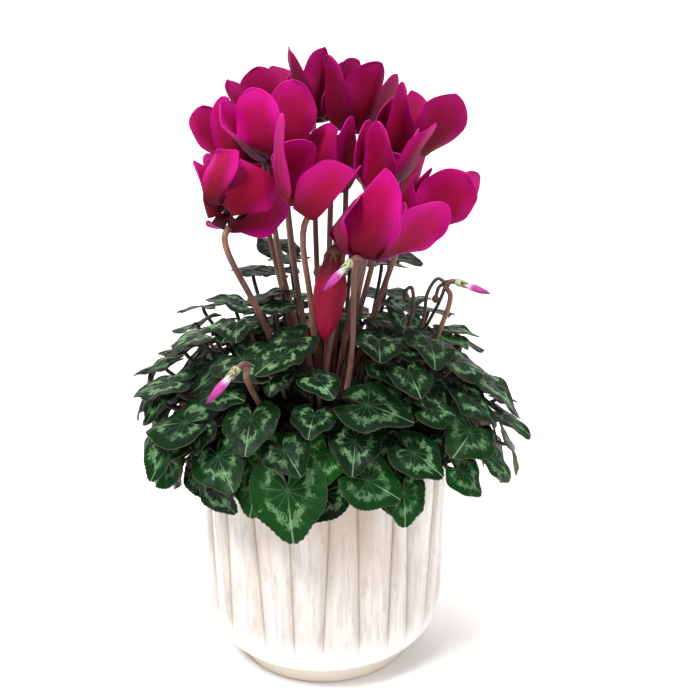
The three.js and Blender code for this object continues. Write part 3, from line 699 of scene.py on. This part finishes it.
ANTHER_SKIN = mottled("anther_skin", "160710", "3a1428", 900, 0.7)
PISTIL_SKIN = mottled("pistil_skin", "c98aa0", "e7b9c4", 700, 0.5)
PETAL_FINISHES = [petal_velvet(), ANTHER_SKIN, PISTIL_SKIN]
for i, bloom in enumerate(BLOOMS):
    at = bloom_frame(bloom)
    lofts = [petal_loft(bloom, i, k, at) for k in range(5)] + throat_lofts(at)
    node = f"bloom_{i + 1:02d}"
    lofted(f"{node}_petals", lofts, PETAL_FINISHES, [node])


# ---- Buds: the petals are still furled into a twisted spindle that hangs from a striped calyx. The big
# one is dark crimson and about to open; the small ones are pale and pink at the tip.

# A row gives the middle of a bud's calyx, the way its tip points, the length and width of the furled
# petals, the bearing of the stem's foot and the points that the stem passes.
BUDS = [
    ((7, -46, 222), (-0.12, -0.06, -1), 40, 16, -100, [(1, -33, 150), (8, -34, 205)]),
    ((12, -66, 219), (-0.75, -0.35, -0.75), 14, 3.8, -80, [(11, -46, 150), (15, -57, 180)]),
    ((-36, -84, 176), (-0.65, -0.3, -0.7), 16, 4, -120, [(-22, -48, 140), (-30, -70, 166)]),
    ((69, -22, 204), (0.9, -0.15, -0.3), 14, 3.8, -20, [(40, -15, 145), (58, -20, 180)]),
]
BUD_STEM_RADIUS, BUD_STEM_FOOT = 1.3, 25.4
FURL_SHARES = [0, 0.07, 0.14, 0.4, 0.66, 0.86, 0.97, 1]
FURL_WIDTHS = [0.24, 0.28, 0.34, 0.5, 0.42, 0.26, 0.1, 0.03]


def bud_frame(bud):
    """The frame of a bud, with its origin in the middle of the calyx."""
    return hanging_frame(bud[0], -unit(np.array(bud[1], float)))


def bud_stem_route(bud):
    """Foot in the tuber, the points it passes, and the small hook that ends in the calyx."""
    at = bud_frame(bud)
    own = lambda x, z: set_in(np.array([x, 0.0, z]), at)
    foot = around(BUD_STEM_FOOT, radians(bud[4]), FOOT_HEIGHT)
    via = [np.array(point, float) for point in bud[5]]
    hook = [own(7.4, 4), own(4, 7.5), own(0.8, 6), own(0, 2)]
    return np.array([foot, np.append(foot[:2], FAN_FOOT), *via, *hook])


def furl_rings(length, width, depth):
    """A spindle whose outline swells at two fifths of its length. Five folds wind round it, each a
    rounded ridge with a sharp valley, and tighten towards the tip."""
    t = np.linspace(0, 1, 60)[:, None]
    outline = np.interp(t[:, 0], FURL_SHARES, FURL_WIDTHS)
    outline = np.convolve(np.pad(outline, 3, mode="edge"), np.ones(7) / 7, "valid")[:, None] * width
    outline[-2:] *= 0.5
    angle = full_turn(60)
    winding = angle + 2.4 * t
    ridge = np.abs(np.sin(2.5 * winding)) ** 0.6
    radius = outline * (1 - depth * (1 - ridge) * smoothstep(t, 0.02, 0.2))
    return around(radius, angle, -length * t), gathered(t, ridge, 0)


def bud_skin(name, calyx_end, middle, tip, valley):
    """Furled petals: a colour at the calyx, one along the middle, one at the tip, one in the folds."""
    made, tree, shader = finish(name, Roughness=0.6, Specular_IOR_Level=0.2)
    spot = parts_of(tree, "spot")
    colour = blended(ease(spot[0], 0.1, 0.4), calyx_end, middle)
    colour = blended(ease(spot[0], 0.5, 0.9), colour, tip)
    colour = blended(ease(spot[1], 0.55, 0.1), colour, valley)
    fine = clouds(object_spot(tree), 500, 2.0)
    colour = blended(ease(fine, 0.5, 0.7, 0, 0.3), colour, valley)
    coated(shader, colour, fine, 0.2, 0.0003)
    return made


BIG_BUD = bud_skin("big_bud", "50001a", "7c0026", "900030", "680022")
SMALL_BUD = bud_skin("small_bud", "efe4ea", "b84498", "9a2482", "82306c")
STRIPED = mottled("striped_calyx", "a9b48a", "6b4636", 900, 0.5, 0.45, 0.6, 0.3, 0.3, 0.3)
for i, bud in enumerate(BUDS, 1):
    at = bud_frame(bud)
    fold_depth, skin, calyx_skin = (0.04, BIG_BUD, SEPAL_SKIN) if i == 1 else (0.16, SMALL_BUD, STRIPED)
    rings, spot = furl_rings(bud[2], bud[3], fold_depth)
    node = f"bud_{i:02d}"
    lofted(f"{node}_furl", [(set_in(rings, at), spot, (0, 0, 0), 0)], [skin], [node])
    stem = tube(flowing(bud_stem_route(bud), STEM_STEPS), BUD_STEM_RADIUS, at[1][1])
    calyx = sepals(at, 1.9, bud[3] * 0.26 + 0.7, 4.2, -0.16 * bud[2])
    node = f"bud_stem_{i:02d}"
    lofted(f"{node}_skin", [plain(stem), plain(calyx, 1)], [STEM_SKIN, calyx_skin], [node])


# ---- Spent stalks: three short hooks by the right-hand bud, whose flowers are over. Each ends in a
# small dull knob.
SPENT_STALKS = [
    [(50, -17, 184), (52.3, -18, 199.4), (57, -18, 206), (61.3, -20, 203.7)],
    [(54, -12, 184), (59, -16, 196), (60.5, -17, 203), (58, -17, 202), (56.2, -17, 195.8)],
    [(43, -23, 184), (44.8, -24, 196), (43.6, -24, 202.8), (41.4, -24, 201.6), (41.2, -24, 198)],
]
SPENT_SKIN = mottled("spent_skin", "35331c", "4e3a2c", 260, 0.6, bump=0.4)
lofts = []
knob = turned([(0.2, 2.2), (1.2, 1.7), (1.8, 0.4), (1.6, -0.9), (0.8, -1.9), (0.2, -2.1)], 12)
for i, points in enumerate(SPENT_STALKS):
    foot = around(20, -0.6 + 0.2 * i, FOOT_HEIGHT)
    middle = lerp(foot, np.array(points[0], float), np.array([0.55, 0.55, 0.6]))
    line = flowing(np.array([foot, middle, *points], float), 8)
    lofts += [plain(tube(line, 0.9, np.array([0.1, 1, 0.05]), 8)), plain(knob + line[-1])]
lofted("spent_stalks", lofts, [SPENT_SKIN], [])


# ---- Leaves: leathery hearts with toothed edges, on stalks that rise from the tuber in tufts. They lie
# over each other like shingles on a mound that hangs over the rim, and small, deep and upright ones
# close its gaps.

# A row gives the bearing of the stalk's end, how far down the mound it lies, how much the blade lifts
# off the mound and how far its tip turns (degrees), how wide it is and, in the apron over the front of
# the rim, how far it stands off the mound.
LEAVES = [
    (-98, 88, 12, 6, 36), (-110, 66, 35, 12, 27), (-133, 71, 45, -65, 33), (-151, 61, 45, -37, 29),
    (-178, 60, 45, 9, 25), (-99, 75, 43, 37, 22), (-111, 82, 50, 52, 30), (-77, 85, 27, 57, 26),
    (-63, 78, 35, 43, 25), (-67, 91, 24, -8, 23), (-41, 76, 36, -71, 29), (-46, 89, 34, 34, 22),
    (-28, 90, 35, 29, 23), (-11, 79, 48, 9, 28), (-4, 72, 54, 40, 21), (-54, 65, 22, 67, 20),
    (-75, 61, 38, 63, 32), (-90, 61, 42, 5, 21), (-90, 52, 39, 31, 20), (-96, 48, 12, -3, 23),
    (-103, 35, 12, -7, 30), (-118, 45, 18, 67, 31), (-161, 42, 20, -53, 31), (166, 29, 50, 22, 24),
    (-19, 36, 5, -49, 28), (7, 45, 40, -13, 23), (-29, 52, 21, 61, 29), (-63, 39, 23, -25, 22),
    (-57, 52, 29, -13, 23), (-117, 57, 31, 75, 23), (-136, 80, 45, 30, 27),
]
MOUND_SIZE, MOUND_CENTRE = (96, 84, 78), 120
LEAF_NECK, STALK_RADIUS, STALK_BEADS, BLADE_HALF, BLADE_EDGE = 3, 1.1, 80, 0.45, 1.03
TUFTS, TUFT_FOOT = 18, 22.5
STALK_ARCH, RIM_ARCH, LOW_FROM, LOW_FULL = 2, 34, 152, 116
FILL_DRAWS, FILL_LEAVES, FILL_FIRST, FILL_LAST = 150, 86, 88, 20
APRON = [(-107, 78, 30, -25, 25, 5), (-92, 78, 34, 32, 23, 4), (-83, 76, 30, -40, 22, 4)]
TALL_DRAWS, YOUNG_DRAWS, INNER_DRAWS = 180, 300, 120
EVEN_TURN, EVEN_FALL = 360 * 0.56984, 0.75488
# Of each stage: how near two leaves may end, how often a row is tried and the room round a leaf.
STAGES = {"grown": (12, 60, 1.0), "tall": (8, 24, 0.1), "young": (8, 24, 0.1), "inner": (7, 12, 0.1)}
# Of each stage: how much painted shade darkens its leaves and how many teeth they have.
SHADE = {"tall": 0.8, "young": 0.3, "inner": 0.9}
TEETH = {"grown": 46, "tall": 34, "young": 30, "inner": 20}


def edge_distance(angle):
    """How far the edge is from the stalk at an angle off the tip, as a share of the width: a circle
    with a drawn-out tip and a deep notch behind."""
    behind = pi - np.abs(angle)
    return 0.5 + 0.18 * np.exp(-((angle / 0.38) ** 2)) - 0.45 * np.exp(-((behind / 0.24) ** 2))


def blade_height(p, q, wave):
    """Height over the stalk's end in shares of the width: arched to the tip, sides fallen, a soft fold
    along the midrib and three waves round the edge."""
    arch = 0.24 * np.maximum(p, 0) ** 2 + 0.1 * np.minimum(p, 0) ** 2
    fold = 0.1 * (np.sqrt(q * q + 0.004) - 0.063)
    ripple = 0.035 * np.sin(3 * np.arctan2(q, p) + wave) * np.minimum(1, (p * p + q * q) / 0.2)
    return fold + ripple - arch - 0.22 * q * q


def tuft_foot(tuft):
    """Where a tuft stands in the crown."""
    return around(TUFT_FOOT, 2 * pi * (tuft + 0.5) / TUFTS, crown_height(TUFT_FOOT) + 2)


def stalk_route(tuft, end, normal):
    """A stalk arches up and out of its tuft, and those of the lowest leaves clear the pot's rim."""
    foot = tuft_foot(tuft)
    low = min(max((LOW_FROM - end[2]) / (LOW_FROM - LOW_FULL), 0), 1)
    middle = (end + foot) / 2
    middle[2] += STALK_ARCH + RIM_ARCH * low
    neck = end - LEAF_NECK * normal
    return np.array([foot, 0.25 * foot + 0.5 * middle + 0.25 * neck, neck, end])


def leaf_place(bearing, fall, lift, turn, rise, width, wave):
    """A leaf on the mound: its stalk's end, the axes of its blade and the route of its stalk."""
    radial, downhill = axis_of(fall, bearing), axis_of(fall + 90, bearing)
    end = (np.array(MOUND_SIZE) + rise) * radial + [0, 0, MOUND_CENTRE]
    lift, turn = radians(lift), radians(turn)
    normal = radial * cos(lift) - downhill * sin(lift)
    tip = downhill * cos(lift) + radial * sin(lift)
    tip = tip * cos(turn) + np.cross(normal, tip) * sin(turn)
    tuft = floor((bearing + 720) % 360 / 360 * TUFTS)
    place = {"end": end, "tip": tip, "across": np.cross(normal, tip), "normal": normal, "tuft": tuft}
    own = {"width": np.array(width), "wave": np.array(wave), "stalk": stalk_route(tuft, end, normal)}
    return place | own


def on_blade(place, p, q, rise):
    """Points of a blade from their shares along and across it."""
    height = blade_height(p, q, place["wave"]) * place["width"] + rise
    flat = p[..., None] * place["tip"] + q[..., None] * place["across"]
    return place["end"] + place["width"] * flat + height[..., None] * place["normal"]


def beads_along(points, spacing):
    """Points along a line, no further apart than the spacing."""
    runs = [points[:1]]
    for a, b in zip(points[:-1], points[1:]):
        count = max(1, ceil(np.linalg.norm(b - a) / spacing))
        runs.append(lerp(a, b, np.arange(1, count + 1)[:, None] / count))
    return np.concatenate(runs)


def blade_beads(place):
    """Beads over a blade: its stalk's end and neck, a ring at its edge and one at two thirds."""
    middle = np.zeros(1)
    strings = [on_blade(place, middle, middle, rise) for rise in (0, -LEAF_NECK)]
    for share, count in ((BLADE_EDGE, 28), (0.65, 14)):
        angle = 2 * pi * (np.arange(count) + 0.5) / count - pi
        reach = edge_distance(angle) * share
        strings.append(on_blade(place, reach * np.cos(angle), reach * np.sin(angle), 0))
    return np.concatenate(strings)


def padded(strings, count):
    """Strings of beads made equally long by repeating the last bead of each."""
    return np.stack([np.concatenate([s, np.repeat(s[-1:], count - len(s), axis=0)]) for s in strings])


def passes(beads, radius, place, clearance):
    """Whether each string of beads stays wholly over or wholly under each blade where it passes it."""
    room = radius + clearance
    offset = beads - place["end"][..., None, :]
    width, wave = place["width"][..., None], place["wave"][..., None]
    p = (offset * place["tip"][..., None, :]).sum(-1) / width
    q = (offset * place["across"][..., None, :]).sum(-1) / width
    clear = np.hypot(p, q) > edge_distance(np.arctan2(q, p)) * BLADE_EDGE + room / width
    height = (offset * place["normal"][..., None, :]).sum(-1) - blade_height(p, q, wave) * width
    return (clear | (height > room)).all(-1) | (clear | (height < -room)).all(-1)


def pass_each_other(leaf, others, strings, radius, clearance):
    """Whether the strings of a leaf pass the blades of the others, and theirs pass its blade."""
    over = passes(others[strings], radius, leaf, clearance).all()
    return over and passes(leaf[strings], radius, others, clearance).all()


def drafted_leaf(row, n, attempt):
    """A row's leaf, drawn a little further off its first place with each attempt."""
    loose = min(1, attempt / 12)
    draw = lambda salt: loose * sway(n + 0.037 * attempt + salt)
    bearing, fall, lift, turn, width, rise = row
    return leaf_place(
        bearing + 11 * draw(0.11),
        fall + 8 * draw(0.22),
        lift + 14 * draw(0.33),
        turn + 35 * draw(0.44),
        rise + 5 * draw(0.55),
        width * (1 - 0.08 * (loose + draw(0.66))),
        pi * sway(n + 0.037 * attempt + 0.77),
    )


def even_fall(i, first, last):
    """A fall between two, drawn so that the leaves lie evenly over the mound."""
    return degrees(acos(lerp(cos(radians(first)), cos(radians(last)), EVEN_FALL * i % 1)))


def fill_row(i):
    """A row drawn by rule: two even sequences spread the leaves over the mound."""
    fall = even_fall(i + 1, FILL_LAST, FILL_FIRST)
    lift, turn, width, rise = (sway(500 + i + salt) for salt in (0, 0.1, 0.2, 0.3))
    return (EVEN_TURN * i, fall, 18 + 10 * lift, 45 * turn, 30 + 4 * width, -4 + 3 * rise)


def stem_strings():
    """Stems and furled buds as strings of beads with their radii, for the leaves to keep clear of."""
    strings = [(beads_along(bloom_stem_route(bloom)[1:6], 2.5), STEM_RADIUS) for bloom in BLOOMS]
    strings += [(beads_along(bud_stem_route(bud)[1:], 2.5), BUD_STEM_RADIUS) for bud in BUDS]
    for calyx, points, length, width, _, _ in BUDS:
        ends = np.array([calyx, calyx + length * unit(np.array(points, float))])
        strings.append((beads_along(ends, 2), width / 2))
    return strings


def young_row(i):
    """A smaller leaf between the others, drawn by the same two sequences further on."""
    fall = even_fall(i + 0.5, 8, 94)
    lift, turn, width, rise = (sway(900 + i + salt) for salt in (0, 0.1, 0.2, 0.3))
    width = lerp(27, 16, i / YOUNG_DRAWS) + 3 * width
    return (EVEN_TURN * (i + 0.5), fall, 16 + 14 * lift, 60 * turn, width, -6 + 7 * rise)


def inner_row(i):
    """An old leaf deep in the mound."""
    fall = even_fall(i + 0.25, 12, 100)
    lift, turn, width, rise = (sway(1300 + i + salt) for salt in (0, 0.1, 0.2, 0.3))
    return (EVEN_TURN * (i + 0.25), fall, 12 + 10 * lift, 60 * turn, 31 + 4 * width, -24 + 6 * rise)


def tall_row(i):
    """A leaf that stands up behind the stems."""
    aside, fall, turn, width, rise = (sway(1700 + i + 0.1 * salt) for salt in range(5))
    return (90 + 45 * aside, 36 + 12 * fall, 40 + 20 * turn, 60 * turn, 27 + 4 * width, 18 + 12 * rise)


LIP_HEIGHT, WALL_INSIDE, WALL_OUTSIDE = 116.5, 59.5, 67.5


def in_pot_wall(points):
    """Whether any of the points is inside the pot's wall or a millimetre from it."""
    away = np.hypot(points[..., 0], points[..., 1])
    return ((points[..., 2] < LIP_HEIGHT) & (away > WALL_INSIDE) & (away < WALL_OUTSIDE)).any()


def placed_leaves():
    """Every row's leaf in turn, drawn again until it crosses no leaf, stalk, stem or bud that is there.
    Deep in the mound only blades and stems are kept clear of."""
    strings = stem_strings()
    radii = np.array([radius for _, radius in strings])[:, None]
    stems = padded([beads for beads, _ in strings], max(len(beads) for beads, _ in strings))
    rows = [((*row, 0), "grown") for row in LEAVES]
    rows += [(fill_row(i), "grown") for i in range(FILL_DRAWS)]
    rows += [(row, "young") for row in APRON]
    rows += [(tall_row(i), "tall") for i in range(TALL_DRAWS)]
    rows += [(young_row(i), "young") for i in range(YOUNG_DRAWS)]
    rows += [(inner_row(i), "inner") for i in range(INNER_DRAWS)]
    placed, others = [], None
    low, high = 1000 * np.array(cad_box)
    for n, (row, stage) in enumerate(rows):
        nearest, tries, clearance = STAGES[stage]
        for attempt in range(tries):
            if stage == "grown" and len(placed) >= FILL_LEAVES:
                break
            leaf = drafted_leaf(row, n, attempt)
            leaf["stage"] = stage
            if placed and np.linalg.norm(others["end"] - leaf["end"], axis=1).min() <= nearest:
                continue
            if not passes(stems, radii, leaf, clearance).all():
                continue
            leaf["blade"] = blade_beads(leaf)
            leaf["beads"] = padded([beads_along(leaf["stalk"], 3)], STALK_BEADS)[0]
            if stage != "grown" and (in_pot_wall(leaf["blade"]) or in_pot_wall(leaf["beads"])):
                continue
            if stage != "grown" and ((leaf["blade"] < low + 1) | (leaf["blade"] > high - 1)).any():
                continue
            if placed and not pass_each_other(leaf, others, "blade", BLADE_HALF, clearance):
                continue
            stalks = placed and stage != "inner"
            if stalks and not pass_each_other(leaf, others, "beads", STALK_RADIUS, clearance):
                continue
            gaps = np.linalg.norm(stems[:, :, None] - leaf["beads"], axis=-1)
            if stage == "inner" or (gaps > radii[..., None] + STALK_RADIUS + clearance / 2).all():
                placed.append(leaf)
                keys = ("end", "tip", "across", "normal", "width", "wave", "blade", "beads")
                others = {key: np.stack([one[key] for one in placed]) for key in keys}
                break
    return placed


def blade_rings(place, thickness=0.55):
    """A blade as rings round its stalk's end, out over the upper face to the edge and back under the
    lower one. The edge has small pointed teeth that lean towards the tip."""
    columns = TEETH[place["stage"]] * 3
    angle = pi - 2 * pi * (np.arange(columns) + 0.5) / columns
    tooth = np.array([0, 1.0, 0.25])[np.arange(columns) % 3] - 0.4
    share = np.array([0.05, 0.16, 0.3, 0.45, 0.6, 0.74, 0.87, 0.96, 0.99, 1, 0.99, 0.9, 0.6, 0.3, 0.05])
    side = np.array([1.0] * 8 + [0.7, 0, -0.7] + [-1.0] * 4)
    share, side = share[:, None], side[:, None]
    reach = edge_distance(angle) * share * (1 + 0.028 * tooth * smoothstep(share, 0.8, 1))
    p, q = reach * np.cos(angle), reach * np.sin(angle)
    wave = place["wave"]
    curled = np.sin(5 * angle + 2.3 * wave) + 0.6 * np.sin(8 * angle - wave)
    quilted = -np.cos(11 * angle) * share * (1 - share)
    rise = place["width"] * 0.02 * curled * share**3 + 0.8 * quilted * smoothstep(np.abs(q), 0.0, 0.1)
    rings = on_blade(place, p, q, side * thickness / 2 + rise)
    return rings, gathered(p, q, share), side


def leaf_skin():
    """The upper face is dark blue-green with a jagged, broken silver band round a dark heart, faint
    veins from the stalk, a pale midrib to the tip and a thin rosy rim; the lower face is dull olive
    flushed with red. Painted shade darkens the upper face towards black where the leaf's kind says so."""
    made, tree, shader = finish("leaf_skin", Specular_IOR_Level=0.09)
    spot, kind = parts_of(tree, "spot"), parts_of(tree, "kind")
    angle = sums("ARCTAN2", spot[1], spot[0])
    square = [times(side, side) for side in (spot[0], spot[1])]
    away = sums("SQRT", sums("ADD", *square))
    cloud = clouds(object_spot(tree), 160, 4.0, 0.6)
    fine = clouds(object_spot(tree), 900, 3.0, 0.6)
    green = blended(ease(cloud, 0.38, 0.62), "031604", "08280b")
    green = blended(kind[0], green, "051c10", 0.5)
    green = blended(kind[2], green, "145212", 0.5)
    own = times(kind[0], 40)
    jag = clouds(add(tree, "CombineXYZ", angle, own, spot[2]), 3.2, 5.0, 0.75)
    where = sums("ADD", spot[2], times(sums("SUBTRACT", jag, 0.5), 1.1))
    band = times(ease(where, 0.45, 0.52), ease(where, 0.7, 0.62))
    broken = clouds(add(tree, "CombineXYZ", angle, own, 0.0), 1.3, 1.0)
    band = times(band, ease(broken, 0.36, 0.54, 0.12, 1))
    band = times(band, ease(kind[0], 0, 1, 0.45, 0.95))
    band = times(band, ease(fine, 0.3, 0.6, 0.5, 1))
    green = blended(band, green, "739c6e")
    spoke = sums("PINGPONG", angle, pi / 11)
    reach = times(spoke, away)
    vein = times(ease(reach, 0.002, 0.01, 1, 0), ease(spot[2], 0.9, 0.4))
    near = ease(sums("ABSOLUTE", spot[1]), 0.006, 0.015, 1, 0)
    midrib = times(near, ease(spot[0], 0.05, 0.4))
    green = blended(vein, green, "9cc39a", 0.1)
    green = blended(midrib, green, "9cc39a", 0.4)
    green = blended(ease(spot[2], 0.978, 0.995, 0, 0.4), green, "7a6a5c")
    # Painted shade: where the kind's third number is below 0, the upper face is darkened towards black.
    green = blended(kind[2], green, "020b04", -1)
    under = blended(ease(cloud, 0.4, 0.62), "3c4a26", "5a3c30")
    under = blended(vein, under, "7d8a5a", 0.5)
    colour = blended(ease(kind[1], -0.1, -0.6), green, under)
    tree.links.new(ease(cloud, 0.3, 0.7, 0.5, 0.36), shader.inputs["Roughness"])
    sunk = sums("MAXIMUM", vein, midrib)
    coated(shader, colour, sums("SUBTRACT", fine, sunk), 0.6, 0.0003)
    return made


LEAF_SKIN = leaf_skin()
STALK_SKIN = mottled("stalk_skin", "2b2a16", "4e3226", 120, 0.5, 0.38, 0.62, 0.3, 0.3)
leaves = placed_leaves()
for tuft in range(TUFTS):
    foot = tuft_foot(tuft)
    low, high = FOOT_HEIGHT - foot[2], [(1.7, -2), (1.5, 1), (0.3, 1.6)]
    base = turned([(0.3, low), (1.5, low), *high], 12)
    lofts = [plain(base + foot, 1)]
    for leaf in leaves:
        if leaf["tuft"] != tuft:
            continue
        rings, spot, side = blade_rings(leaf)
        # The third number of a leaf's kind, held in young: above 0 it makes the green paler, as on the
        # low leaves and a few fresh young ones; below 0 it is painted shade that darkens the upper face
        # towards black, strongest on the inner and tall leaves, lighter on most young ones and slight
        # on some high grown ones.
        n = leaf["end"] @ [1.3, 2.1, 0.7]
        young = 0.75 * (1 - smoothstep(leaf["end"][2], 118, 150)) + 0.15 * sway(n + 2)
        if leaf["stage"] != "grown":
            young = 1.6 if leaf["stage"] == "young" and sway(n + 5) > 0.7 else -SHADE[leaf["stage"]]
        kind = gathered(0.5 + 0.5 * sway(n), side, young)
        lofts.append((rings, spot, kind, 0))
        square = unit(np.cross(leaf["end"] - foot, [0, 0, 1]))
        lofts.append(plain(tube(flowing(leaf["stalk"], 8), STALK_RADIUS, square, 8), 1))
    node = f"leaf_tuft_{tuft + 1:02d}"
    lofted(f"{node}_leaves", lofts, [LEAF_SKIN, STALK_SKIN], [node])


# ---- Stage: a pale sheet that lies flat and sweeps up behind, under soft lights.
def backdrop():
    """A sheet 6 m wide: flat, then a quarter turn of 1 m radius, then upright."""
    bend = np.linspace(0, pi / 2, 24)
    y = np.concatenate([[-3.0], 1.6 + np.sin(bend), [2.6]])
    z = np.concatenate([[0.0], 1 - np.cos(bend), [4.0]])
    points = np.concatenate([gathered(x, y, z) for x in (-3, 3)])
    n = len(y)
    faces = [(i, n + i, n + i + 1, i + 1) for i in range(n - 1)]
    mesh = bpy.data.meshes.new("backdrop")
    mesh.from_pydata(points.tolist(), [], faces)
    mesh.materials.append(mottled("pale_paper", "f4f2f0", "f8f7f6", 4, 0.9, 0.3, 0.7))
    mesh.shade_smooth()
    return stood("backdrop", mesh)


def lamp(name, location, target, size, power):
    """A square soft light aimed at a point."""
    light = stood(name, bpy.data.lights.new(name, "AREA"))
    light.data.size = size
    light.data.energy = power
    light.location = location
    away = np.subtract(location, target)
    turn = np.arctan2(away[1], away[0]) + pi / 2
    light.rotation_euler = (acos(away[2] / np.linalg.norm(away)), 0, turn)


backdrop()
lamp("key", (-0.6, -0.9, 1.7), (0, 0, 0.18), 0.5, 38)
lamp("fill", (1.1, -0.9, 0.9), (0, 0, 0.15), 0.9, 6)
lamp("top", (0.2, 0.3, 1.6), (0, 0, 0.2), 1.0, 10)
lamp("wall", (0, 0.9, 2.6), (0, 2.6, 1.2), 2.5, 75)
scene.world = bpy.data.worlds.new("sky")
scene.world.use_nodes = True
sky = scene.world.node_tree.nodes["Background"]
sky.inputs[0].default_value = (1, 1, 1, 1)
sky.inputs[1].default_value = 0.34
scene.view_settings.view_transform = "Standard"
